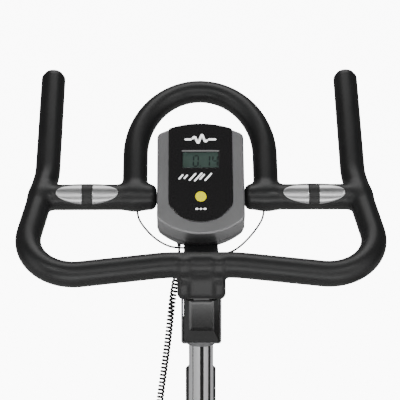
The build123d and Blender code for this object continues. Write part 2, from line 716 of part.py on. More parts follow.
def route(points, diameter, start=None):
    """A cord's tube along chosen points, with tangent bends, and its printed radii."""
    runs = [(b - a).length for a, b in zip(points, points[1:])]
    radii = []
    for a, b, c, r0, r1 in zip(points, points[1:], points[2:], runs, runs[1:]):
        half = (b - a).get_angle(c - b) / 2
        radii.append(0.45 * min(r0, r1) / tan(radians(half)))
    print("bends", diameter, [round(r, 1) for r in radii], "runs", [round(r, 1) for r in runs])
    with BuildPart() as tube:
        with BuildLine() as path:
            if radii:
                FilletPolyline(*points, radius=radii)
            else:
                Line(*points)
        with BuildSketch(Plane(origin=path.wire() @ 0, z_dir=path.wire() % 0)):
            Circle(diameter / 2)
        sweep(path=path.wire())
    area = 3.14159265 * diameter**2 / 4
    print("volume over section times length", round(tube.part.volume / (area * path.wire().length), 4))
    return tube.part


def plug(start, end, radius, collar):
    """A turned plug with a thicker grip, from its cord end to its tip."""
    axis = (end - start).normalized()
    length = (end - start).length
    with BuildPart() as body:
        with BuildSketch(Plane(origin=start, z_dir=axis)):
            Circle(radius)
        extrude(amount=length)
        with BuildSketch(Plane(origin=start + axis * (length * 0.35), z_dir=axis)):
            Circle(collar)
        extrude(amount=length * 0.5)
    return body.part


PULSE_LEFT = [
    at(-82.5, 101, 46.2), at(-82.5, 101, 36), at(-74, 97, 23), at(-61, 89, 11),
    at(-46, 77, 4.5), at(-33, 67, 3.5), at(-22, 67, 3.5),
]
PULSE_RIGHT = [
    at(82.5, 101, 46.2), at(82.5, 101, 36), at(74, 97, 22), at(61, 89, 8),
    at(46, 77, -2.0), at(33, 67, -4.5), at(22, 67, -4.5),
]
SENSOR_TOP = at(SENSOR_X, 80, 2)
SENSOR_LEAD = [SENSOR_TOP, at(SENSOR_X, 80, -18.6), at(-31.3, 59.5, -28)]
COIL = [
    at(-37.5, 32, -60), at(-41.5, 27, -100), at(-47, 29, -142), at(-52.5, 27, -182), at(-56, 28.5, -214),
]
coil_start = SENSOR_LEAD[-1] + (COIL[0] - SENSOR_LEAD[-1]).normalized() * 12
tail_dir = (COIL[-1] - COIL[-2]).normalized()
TAIL_LEN = 12.0
PLUG_LEN = 24.0
tail_end = COIL[-1] + tail_dir * TAIL_LEN
print("coil start", coil_start, "tail end", tail_end)

with BuildPart() as pulse_wire_left:
    add(route(PULSE_LEFT, WIRE_D))
pulse_wire_left.part.label = "pulse_wire_left"

with BuildPart() as pulse_wire_right:
    add(route(PULSE_RIGHT, WIRE_D))
pulse_wire_right.part.label = "pulse_wire_right"

with BuildPart() as sensor_cord_lead:
    add(route(SENSOR_LEAD + [coil_start], LEAD_D))
sensor_cord_lead.part.label = "sensor_cord_lead"

with BuildPart() as sensor_cord_coil:
    add(route([coil_start] + COIL, COIL_D))
sensor_cord_coil.part.label = "sensor_cord_coil"

with BuildPart() as sensor_cord_tail:
    add(route([COIL[-1], tail_end], LEAD_D))
sensor_cord_tail.part.label = "sensor_cord_tail"

with BuildPart() as sensor_cord_plug:
    add(plug(tail_end, tail_end + tail_dir * PLUG_LEN, 3.0, 4.2))
sensor_cord_plug.part.label = "sensor_cord_plug"

with BuildPart() as sensor_top_plug:
    add(plug(SENSOR_TOP, SENSOR_TOP + Vector(0, 0, 9), 2.4, 3.2))
sensor_top_plug.part.label = "sensor_top_plug"

with BuildPart() as jack_socket:
    with BuildSketch(Plane(SENSOR_TOP + Vector(0, 0, 9))):
        Circle(5.0)
    extrude(amount=24.0)
    with BuildSketch(FACE.offset(-CONSOLE_T)):
        Rectangle(400, 400)
    extrude(amount=60, mode=Mode.SUBTRACT)
jack_socket.part.label = "jack_socket"

with BuildPart() as wire_grommets:
    for side in (-1, 1):
        with BuildSketch(Plane(origin=at(side * 82.5, 101, 46.2), z_dir=(0, 0, 1))):
            Circle(2.5)
        extrude(amount=5.0)
wire_grommets.part.label = "wire_grommets"

# ---------------------------------------------------------------- export
EXPORTS = [
    post_tube, post_collar, slider_sleeve, sleeve_liner, clamp_nut, clamp_pad, knob_stud, knob_grip, knob_cap,
    slider_tube, slider_rear_plug, slider_front_plug, bracket_core, skin_bracket, bar_main_tube, bar_arch_tube,
    crossbar_tube_left, crossbar_tube_right, skin_lower_bar, skin_side_left, skin_side_right, skin_arch,
    skin_crossbar_left, skin_crossbar_right, pulse_housing_left, pulse_housing_right, pulse_plates_left,
    pulse_plates_right, console_bezel, console_panel, lcd_window, lcd_module, pcb, button_switch, mode_button,
    console_rear_shell, battery_door, batteries, battery_cradle, console_neck, neck_screws, console_screws,
    pulse_wire_left, pulse_wire_right, sensor_cord_lead, sensor_cord_coil, sensor_cord_tail, sensor_cord_plug,
    sensor_top_plug, jack_socket, wire_grommets,
]
for piece in EXPORTS:
    solids = piece.part.solids()
    print(piece.part.label, len(solids), round(piece.part.volume), piece.part.is_valid)
    export_step(piece.part, f"parts/{piece.part.label}.step")
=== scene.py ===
"""Exercise bike cockpit: padded handlebar, console, slider and chrome post, dressed on its CAD frame."""

import logging
import math
from dataclasses import dataclass, field
from enum import Enum

import bpy
import numpy as np
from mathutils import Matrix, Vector


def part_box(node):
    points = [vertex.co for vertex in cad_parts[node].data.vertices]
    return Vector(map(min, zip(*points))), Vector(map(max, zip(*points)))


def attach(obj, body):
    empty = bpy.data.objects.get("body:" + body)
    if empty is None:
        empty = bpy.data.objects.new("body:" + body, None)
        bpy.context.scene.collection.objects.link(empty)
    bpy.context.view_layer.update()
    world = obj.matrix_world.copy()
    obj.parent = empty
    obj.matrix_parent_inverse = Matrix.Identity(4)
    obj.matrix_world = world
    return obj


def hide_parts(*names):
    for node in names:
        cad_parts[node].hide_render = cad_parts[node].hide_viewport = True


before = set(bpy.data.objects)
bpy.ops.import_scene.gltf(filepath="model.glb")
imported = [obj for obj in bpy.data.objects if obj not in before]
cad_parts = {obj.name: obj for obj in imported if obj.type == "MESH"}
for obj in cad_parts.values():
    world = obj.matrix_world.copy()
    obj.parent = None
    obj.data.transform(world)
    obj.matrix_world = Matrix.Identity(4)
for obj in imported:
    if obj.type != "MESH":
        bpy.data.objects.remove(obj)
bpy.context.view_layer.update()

log = logging.getLogger("cockpit")

MM = 0.001
BAR = np.array([0.0, -45.0, 434.0]) * MM  # centre of the lower bar, as in the CAD
FACE_TILT = math.radians(40.5)
FACE_ORIGIN = BAR + np.array([0.0, 38.3, 29.7]) * MM
FACE_X = np.array([1.0, 0.0, 0.0])
FACE_N = np.array([0.0, -math.cos(FACE_TILT), math.sin(FACE_TILT)])
FACE_Y = np.cross(FACE_N, FACE_X)


class Body(Enum):
    """The bodies of the CAD frame that new pieces ride on."""

    POST = "post"
    HANDLEBAR = "handlebar"
    BUTTON = "mode_button"
    DOOR = "battery_door"
    KNOB = "clamp_knob"


# ------------------------------------------------------------------ node helpers
def link(tree: bpy.types.NodeTree, source: bpy.types.NodeSocket, target: bpy.types.NodeSocket) -> None:
    """Joins two sockets."""
    tree.links.new(source, target)


def new_group(name: str, inputs: dict[str, float | tuple], outputs: dict[str, str]) -> bpy.types.NodeTree:
    """Makes an empty shader node group with named sockets.

    Args:
        name: the group's name.
        inputs: input name to default, a number or a colour.
        outputs: output name to socket type.

    Returns:
        The group, with its input and output nodes placed.
    """
    group = bpy.data.node_groups.new(name, "ShaderNodeTree")
    for key, value in inputs.items():
        kind = "NodeSocketFloat" if isinstance(value, (int, float)) else "NodeSocketColor"
        socket = group.interface.new_socket(name=key, in_out="INPUT", socket_type=kind)
        socket.default_value = value
    for key, kind in outputs.items():
        group.interface.new_socket(name=key, in_out="OUTPUT", socket_type=kind)
    group.nodes.new("NodeGroupInput").name = "In"
    group.nodes.new("NodeGroupOutput").name = "Out"
    return group


def noise(tree: bpy.types.NodeTree, scale: float, detail: float, vector: bpy.types.NodeSocket) -> bpy.types.Node:
    """A noise texture of one scale on given coordinates."""
    node = tree.nodes.new("ShaderNodeTexNoise")
    node.inputs["Scale"].default_value = scale
    node.inputs["Detail"].default_value = detail
    link(tree, vector, node.inputs["Vector"])
    return node


def grain_group() -> bpy.types.NodeTree:
    """Fine moulded or sprayed grain: two sizes of noise, as a height and a mask."""
    group = new_group(
        "surface grain",
        {"Scale": 900.0, "Coarse": 60.0},
        {"Height": "NodeSocketFloat", "Patches": "NodeSocketFloat"},
    )
    inside, out = group.nodes["In"], group.nodes["Out"]
    place = group.nodes.new("ShaderNodeTexCoord")
    fine = noise(group, 900.0, 3.0, place.outputs["Object"])
    link(group, inside.outputs["Scale"], fine.inputs["Scale"])
    coarse = noise(group, 60.0, 4.0, place.outputs["Object"])
    link(group, inside.outputs["Coarse"], coarse.inputs["Scale"])
    link(group, fine.outputs["Fac"], out.inputs["Height"])
    link(group, coarse.outputs["Fac"], out.inputs["Patches"])
    return group


def handling_group() -> bpy.types.NodeTree:
    """Colour and roughness that drift softly over a handled surface."""
    group = new_group(
        "handling",
        {"Clean": (0.5, 0.5, 0.5, 1.0), "Handled": (0.5, 0.5, 0.5, 1.0), "Smooth": 0.3, "Dull": 0.4, "Scale": 14.0},
        {"Colour": "NodeSocketColor", "Roughness": "NodeSocketFloat"},
    )
    inside, out = group.nodes["In"], group.nodes["Out"]
    place = group.nodes.new("ShaderNodeTexCoord")
    drift = noise(group, 14.0, 5.0, place.outputs["Object"])
    link(group, inside.outputs["Scale"], drift.inputs["Scale"])
    tint = group.nodes.new("ShaderNodeMix")
    tint.data_type = "RGBA"
    link(group, drift.outputs["Fac"], tint.inputs["Factor"])
    link(group, inside.outputs["Clean"], tint.inputs["A"])
    link(group, inside.outputs["Handled"], tint.inputs["B"])
    span = group.nodes.new("ShaderNodeMapRange")
    link(group, drift.outputs["Fac"], span.inputs["Value"])
    span.inputs["From Min"].default_value = 0.3
    span.inputs["From Max"].default_value = 0.7
    link(group, inside.outputs["Smooth"], span.inputs["To Min"])
    link(group, inside.outputs["Dull"], span.inputs["To Max"])
    link(group, tint.outputs["Result"], out.inputs["Colour"])
    link(group, span.outputs["Result"], out.inputs["Roughness"])
    return group


GROUPS: dict[str, bpy.types.NodeTree] = {}


def group_node(tree: bpy.types.NodeTree, name: str) -> bpy.types.Node:
    """Places a shared node group in a material."""
    makers = {"grain": grain_group, "handling": handling_group}
    if name not in GROUPS:
        GROUPS[name] = makers[name]()
    node = tree.nodes.new("ShaderNodeGroup")
    node.node_tree = GROUPS[name]
    return node


# ------------------------------------------------------------------ finishes
@dataclass(frozen=True)
class Finish:
    """One surface finish: a colour that drifts a little, its gloss, a fine grain, and for some a painted glow of that
    colour.
    """

    name: str
    clean: tuple[float, float, float]
    handled: tuple[float, float, float]
    smooth: float
    dull: float
    metallic: float = 0.0
    coat: float = 0.0
    coat_roughness: float = 0.1
    grain_scale: float = 900.0
    grain_depth: float = 0.00002
    grain_strength: float = 0.3
    drift_scale: float = 14.0
    specular: float = 0.5
    stretch: tuple[float, float, float] = (1.0, 1.0, 1.0)
    # painted glow: how strongly the clean colour shines as emission, for parts that are no lamp
    glow: float = 0.0

    def build(self) -> bpy.types.Material:
        """Makes the material, or returns it if it is there already."""
        known = bpy.data.materials.get(self.name)
        if known:
            return known
        mat = bpy.data.materials.new(self.name)
        mat.use_nodes = True
        tree = mat.node_tree
        shader = tree.nodes["Principled BSDF"]
        shader.inputs["Metallic"].default_value = self.metallic
        shader.inputs["Coat Weight"].default_value = self.coat
        shader.inputs["Coat Roughness"].default_value = self.coat_roughness
        shader.inputs["Specular IOR Level"].default_value = self.specular
        # Painted glow: the clean colour is also emitted, so the part lights itself though it is no lamp.
        shader.inputs["Emission Color"].default_value = (*self.clean, 1.0)
        shader.inputs["Emission Strength"].default_value = self.glow
        handling = group_node(tree, "handling")
        handling.inputs["Clean"].default_value = (*self.clean, 1.0)
        handling.inputs["Handled"].default_value = (*self.handled, 1.0)
        handling.inputs["Smooth"].default_value = self.smooth
        handling.inputs["Dull"].default_value = self.dull
        handling.inputs["Scale"].default_value = self.drift_scale
        link(tree, handling.outputs["Colour"], shader.inputs["Base Color"])
        link(tree, handling.outputs["Roughness"], shader.inputs["Roughness"])
        self.relief(tree, shader)
        return mat

    def relief(self, tree: bpy.types.NodeTree, shader: bpy.types.Node) -> None:
        """Adds the fine grain as a bump.

        Args:
            tree: the material's nodes.
            shader: the shader whose normal it feeds.
        """
        grain = group_node(tree, "grain")
        grain.inputs["Scale"].default_value = self.grain_scale
        bump = tree.nodes.new("ShaderNodeBump")
        bump.inputs["Strength"].default_value = self.grain_strength
        bump.inputs["Distance"].default_value = self.grain_depth
        link(tree, grain.outputs["Height"], bump.inputs["Height"])
        link(tree, bump.outputs["Normal"], shader.inputs["Normal"])


@dataclass(frozen=True)
class BrushedFinish(Finish):
    """Metal with fine lines along X."""

    def relief(self, tree: bpy.types.NodeTree, shader: bpy.types.Node) -> None:
        """Adds the brushing lines: noise drawn out along X."""
        place = tree.nodes.new("ShaderNodeTexCoord")
        spread = tree.nodes.new("ShaderNodeMapping")
        spread.inputs["Scale"].default_value = self.stretch
        link(tree, place.outputs["Object"], spread.inputs["Vector"])
        lines = noise(tree, self.grain_scale, 2.0, spread.outputs["Vector"])
        bump = tree.nodes.new("ShaderNodeBump")
        bump.inputs["Strength"].default_value = self.grain_strength
        bump.inputs["Distance"].default_value = self.grain_depth
        link(tree, lines.outputs["Fac"], bump.inputs["Height"])
        link(tree, bump.outputs["Normal"], shader.inputs["Normal"])


@dataclass(frozen=True)
class ClearFinish:
    """Clear moulded plastic over the display."""

    name: str = "clear window"

    def build(self) -> bpy.types.Material:
        """Makes the material, or returns it if it is there already."""
        known = bpy.data.materials.get(self.name)
        if known:
            return known
        mat = bpy.data.materials.new(self.name)
        mat.use_nodes = True
        shader = mat.node_tree.nodes["Principled BSDF"]
        shader.inputs["Base Color"].default_value = (0.02, 0.02, 0.02, 1.0)
        shader.inputs["Roughness"].default_value = 0.08
        shader.inputs["Alpha"].default_value = 0.08
        return mat


SKIN = Finish("moulded skin", (0.008, 0.008, 0.0083), (0.012, 0.012, 0.0123), 0.38, 0.45, specular=0.5,
              grain_scale=1500.0,
              grain_depth=0.00003, grain_strength=0.25, drift_scale=18.0)
HOUSING = Finish("sensor housing", (0.012, 0.012, 0.012), (0.018, 0.018, 0.018), 0.4, 0.5)
PANEL = Finish("gloss panel", (0.012, 0.0115, 0.012), (0.014, 0.0135, 0.014), 0.14, 0.18, coat=0.4,
               coat_roughness=0.05, grain_strength=0.05)
SILVER = Finish("silver plastic", (0.27, 0.27, 0.275), (0.30, 0.30, 0.305), 0.30, 0.35, metallic=0.5,
                grain_scale=2200.0, grain_strength=0.05)
SILVER_DARK = Finish("silver plastic rear", (0.20, 0.20, 0.205), (0.22, 0.22, 0.225), 0.28, 0.34, metallic=0.4,
                     grain_scale=2200.0, grain_strength=0.2)
SILVER_PAINT = Finish("silver paint", (0.17, 0.17, 0.173), (0.20, 0.20, 0.203), 0.30, 0.38, metallic=0.5,
                      grain_scale=1800.0, grain_strength=0.25)
CHROME = Finish("chrome plate", (0.88, 0.88, 0.89), (0.84, 0.84, 0.86), 0.04, 0.09, metallic=1.0,
                grain_scale=400.0, grain_strength=0.02, drift_scale=30.0)
STEEL = BrushedFinish("brushed sensor steel", (0.62, 0.62, 0.62), (0.56, 0.56, 0.57), 0.28, 0.38, metallic=1.0,
                      grain_scale=900.0, grain_depth=0.00002, grain_strength=0.25, stretch=(0.04, 1.0, 1.0))
ZINC = Finish("zinc plate", (0.58, 0.58, 0.57), (0.50, 0.50, 0.49), 0.28, 0.4, metallic=1.0)
BARE_STEEL = Finish("bare tube", (0.40, 0.40, 0.41), (0.34, 0.33, 0.33), 0.35, 0.5, metallic=1.0)
BRASS = Finish("machined brass", (0.72, 0.56, 0.28), (0.60, 0.46, 0.22), 0.28, 0.4, metallic=1.0)
BLACK_PAINT = Finish("black paint", (0.014, 0.014, 0.014), (0.02, 0.02, 0.02), 0.28, 0.36, coat=0.2)
PLUG_GLOSS = Finish("gloss plug", (0.013, 0.013, 0.013), (0.016, 0.016, 0.016), 0.16, 0.22, coat=0.3,
                    grain_strength=0.08)
KNOB_GRIP = Finish("knob plastic", (0.014, 0.014, 0.015), (0.022, 0.022, 0.022), 0.42, 0.55, grain_scale=1200.0,
                   grain_strength=0.6)
MATT_BLACK = Finish("matt plastic", (0.016, 0.016, 0.016), (0.022, 0.022, 0.022), 0.45, 0.6)
NECK = Finish("neck plastic", (0.016, 0.016, 0.0165), (0.022, 0.022, 0.023), 0.34, 0.44)
# Yellow button colour with a painted glow: it also shines as emission at strength 0.25, though the button is no lamp.
YELLOW_PAINTED_GLOW = Finish("yellow button", (0.95, 0.86, 0.0), (0.92, 0.82, 0.0), 0.5, 0.6, grain_strength=0.05,
                specular=0.15, glow=0.25)
LCD_CELL = Finish("display cell", (0.070, 0.115, 0.098), (0.076, 0.122, 0.104), 0.30, 0.38, grain_strength=0.02)
LCD_INK = Finish("display segments", (0.008, 0.02, 0.018), (0.010, 0.024, 0.02), 0.4, 0.5, grain_strength=0.02)
# White print with a painted glow: it also shines as emission at strength 1.6, though the marks are no lamp.
PRINT_WHITE_PAINTED_GLOW = Finish("white print", (0.80, 0.80, 0.80), (0.76, 0.76, 0.76), 0.5, 0.6, grain_strength=0.05,
                     glow=1.6)
BOARD = Finish("circuit board", (0.02, 0.10, 0.04), (0.03, 0.13, 0.05), 0.35, 0.5)
CELL_WRAP = Finish("cell wrap", (0.10, 0.12, 0.16), (0.12, 0.14, 0.18), 0.25, 0.35)
CORD = Finish("cord jacket", (0.012, 0.012, 0.012), (0.018, 0.018, 0.018), 0.36, 0.48, grain_scale=2500.0)
CLEAR = ClearFinish()


# ------------------------------------------------------------------ mesh helpers
def mesh_piece(name: str, verts: np.ndarray, quads: np.ndarray, finish: "Finish | ClearFinish", smooth: bool = True,
               tris: np.ndarray | None = None) -> bpy.types.Object:
    """Puts arrays of points and faces into a new object at the origin.

    Args:
        name: the piece's name.
        verts: points, n by 3, in metres.
        quads: faces of four point numbers, m by 4.
        finish: what the piece is made of.
        smooth: whether its faces shade smoothly.
        tris: further faces of three point numbers.

    Returns:
        The new object.
    """
    mesh = bpy.data.meshes.new(name)
    tri_count = 0 if tris is None else len(tris)
    loops = quads.ravel() if tris is None else np.concatenate([quads.ravel(), tris.ravel()])
    starts = np.concatenate([np.arange(len(quads)) * 4, len(quads) * 4 + np.arange(tri_count) * 3])
    totals = np.concatenate([np.full(len(quads), 4), np.full(tri_count, 3)])
    mesh.vertices.add(len(verts))
    mesh.vertices.foreach_set("co", np.ascontiguousarray(verts, np.float32).ravel())
    mesh.loops.add(len(loops))
    mesh.loops.foreach_set("vertex_index", loops.astype(np.int32))
    mesh.polygons.add(len(starts))
    mesh.polygons.foreach_set("loop_start", starts.astype(np.int32))
    mesh.polygons.foreach_set("loop_total", totals.astype(np.int32))
    mesh.polygons.foreach_set("use_smooth", np.full(len(starts), smooth))
    mesh.update(calc_edges=True)
    mesh.validate()
    piece = bpy.data.objects.new(name, mesh)
    bpy.context.scene.collection.objects.link(piece)
    mesh.materials.append(finish.build())
    return piece


def ring_quads(rows: int, cols: int) -> np.ndarray:
    """Faces of a grid of closed rings: row by row, with the last column joined to the first."""
    row, col = np.meshgrid(np.arange(rows - 1), np.arange(cols), indexing="ij")
    nxt = (col + 1) % cols
    return np.stack([row * cols + col, row * cols + nxt, (row + 1) * cols + nxt, (row + 1) * cols + col], -1).reshape(-1, 4)


def ring_caps(rows: int, cols: int, base: int) -> np.ndarray:
    """Triangles that close the first and the last ring on two centre points that follow the rings."""
    col = np.arange(cols)
    nxt = (col + 1) % cols
    first = np.stack([np.full(cols, base), nxt, col], -1)
    last = np.stack([np.full(cols, base + 1), (rows - 1) * cols + col, (rows - 1) * cols + nxt], -1)
    return np.concatenate([first, last])


def ring_solid(name: str, rings: np.ndarray, finish: Finish) -> bpy.types.Object:
    """A closed solid through a stack of rings, capped at both ends by a fan on each end ring's mean point.

    Args:
        name: the piece's name.
        rings: rows by columns by 3 points.
        finish: what the piece is made of.

    Returns:
        The new object.
    """
    rows, cols, _ = rings.shape
    verts = np.concatenate([rings.reshape(-1, 3), rings[0].mean(0)[None], rings[-1].mean(0)[None]])
    return mesh_piece(name, verts, ring_quads(rows, cols), finish, tris=ring_caps(rows, cols, rows * cols))


def on_face(points: np.ndarray) -> np.ndarray:
    """Points given on the console's face, as x, y up the face and z out of it in millimetres, in the row frame."""
    p = np.asarray(points, float) * MM
    return FACE_ORIGIN + p[..., :1] * FACE_X + p[..., 1:2] * FACE_Y + p[..., 2:3] * FACE_N


def dress(finish: Finish | ClearFinish, *nodes: str) -> None:
    """Gives CAD nodes a finish through their material slots."""
    for name in nodes:
        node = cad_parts[name]
        if not node.material_slots:
            node.data.materials.append(finish.build())
        for slot in node.material_slots:
            slot.material = finish.build()


def shade_by_angle(piece: bpy.types.Object, degrees: float = 35.0) -> None:
    """Marks edges sharper than an angle, so that flats stay flat and rounds stay round."""
    piece.data.set_sharp_from_angle(angle=math.radians(degrees))


# ------------------------------------------------------------------ centrelines
def rounded_path(corners: np.ndarray, radii: list[float], step: float) -> np.ndarray:
    """Points along a polyline whose corners are arcs of given radii.

    An arc starts and ends at radius times tan(half the turn) from its corner, and its points are the
    centre plus the radius times cosine and sine of equal steps.

    Args:
        corners: the polyline's points, n by 3.
        radii: one radius for each inner point.
        step: spacing along an arc.

    Returns:
        The path's points.
    """
    stretches = [corners[:1]]
    for before, corner, after, radius in zip(corners, corners[1:], corners[2:], radii):
        into = (corner - before) / np.linalg.norm(corner - before)
        away = (after - corner) / np.linalg.norm(after - corner)
        turn = math.acos(float(np.clip(into @ away, -1, 1)))
        start = corner - into * radius * math.tan(turn / 2)
        side = away - into * (into @ away)
        side /= np.linalg.norm(side)
        angle = np.linspace(0, turn, max(4, int(radius * turn / step)))[:, None]
        stretches.append(start + radius * (np.sin(angle) * into + (1 - np.cos(angle)) * side))
    stretches.append(corners[-1:])
    return np.concatenate(stretches)


@dataclass
class Tube:
    """A round bar along a path, as a distance field for the skin that covers it."""

    path: np.ndarray
    radius: float
    slim: float = 0.0

    def field(self, points: np.ndarray) -> tuple[np.ndarray, np.ndarray]:
        """Distance from the tube's surface and its outward direction.

        Each point's nearest place on every stretch is the stretch's start plus the point's share along it,
        held between 0 and 1; the nearest of these gives the distance, less the radius. A slimmed tube is
        thinner by that much halfway along, after the sine of the share of the way.

        Args:
            points: places to measure, n by 3.

        Returns:
            Distances, n, and unit directions, n by 3.
        """
        start, run = self.path[:-1], np.diff(self.path, axis=0)
        length2 = (run**2).sum(1)
        dist = np.empty(len(points))
        out = np.empty_like(points)
        for low in range(0, len(points), 3000):
            part = points[low:low + 3000]
            rel = part[:, None, :] - start[None]
            share = np.clip((rel * run).sum(2) / length2, 0, 1)
            gap = rel - share[..., None] * run
            size = np.sqrt((gap**2).sum(2))
            near = size.argmin(1)
            row = np.arange(len(part))
            way = (near + share[row, near]) / len(run)
            dist[low:low + 3000] = size[row, near] - self.radius + self.slim * np.sin(np.pi * way) ** 2
            out[low:low + 3000] = gap[row, near] / np.maximum(size[row, near], 1e-9)[:, None]
        return dist, out

    def rings(self, count: int) -> np.ndarray:
        """Rings of points round the path, each turned so that it follows the last without twist."""
        tangent = np.gradient(self.path, axis=0)
        tangent /= np.linalg.norm(tangent, axis=1)[:, None]
        side = np.cross(tangent, [0.31, 0.17, 0.94])
        side /= np.linalg.norm(side, axis=1)[:, None]
        lift = np.cross(tangent, side)
        angle = np.linspace(0, 2 * math.pi, count, endpoint=False)[:, None]
        return self.path[:, None] + self.radius * (np.cos(angle) * side[:, None] + np.sin(angle) * lift[:, None])


@dataclass
class Flat:
    """A plane that cuts a tube's end, as a distance field."""

    place: np.ndarray
    normal: np.ndarray

    def field(self, points: np.ndarray) -> tuple[np.ndarray, np.ndarray]:
        """Distance beyond the plane, and the plane's normal."""
        return (points - self.place) @ self.normal, np.broadcast_to(self.normal, points.shape)


@dataclass
class RoundBlock:
    """A block with rounded edges, as a distance field."""

    centre: np.ndarray
    half: np.ndarray
    round: float

    def field(self, points: np.ndarray) -> tuple[np.ndarray, np.ndarray]:
        """Distance from a smaller block less the rounding, and its outward direction."""
        rel = points - self.centre
        over = np.abs(rel) - (self.half - self.round)
        outer = np.maximum(over, 0)
        size = np.linalg.norm(outer, axis=1)
        inner = np.minimum(over.max(1), 0)
        face = (over == over.max(1)[:, None]) * 1.0
        way = np.where(size[:, None] > 1e-9, outer / np.maximum(size, 1e-9)[:, None], face) * np.sign(rel)
        return size + inner - self.round, way


Field = tuple[np.ndarray, np.ndarray]


def blend_union(a: Field, b: Field, width: float) -> Field:
    """Two shapes joined with a fillet.

    The share h is 0.5 plus half the distances' difference over the width, held between 0 and 1. The result
    is the two distances mixed by h, less width times h times (1 - h).
    """
    h = np.clip(0.5 + 0.5 * (b[0] - a[0]) / width, 0, 1)
    return b[0] * (1 - h) + a[0] * h - width * h * (1 - h), b[1] * (1 - h)[:, None] + a[1] * h[:, None]


def blend_cut(a: Field, b: Field, width: float) -> Field:
    """What two shapes share, with its edge rounded: the union of what is outside them, turned inside out."""
    d, g = blend_union((-a[0], -a[1]), (-b[0], -b[1]), width)
    return -d, -g


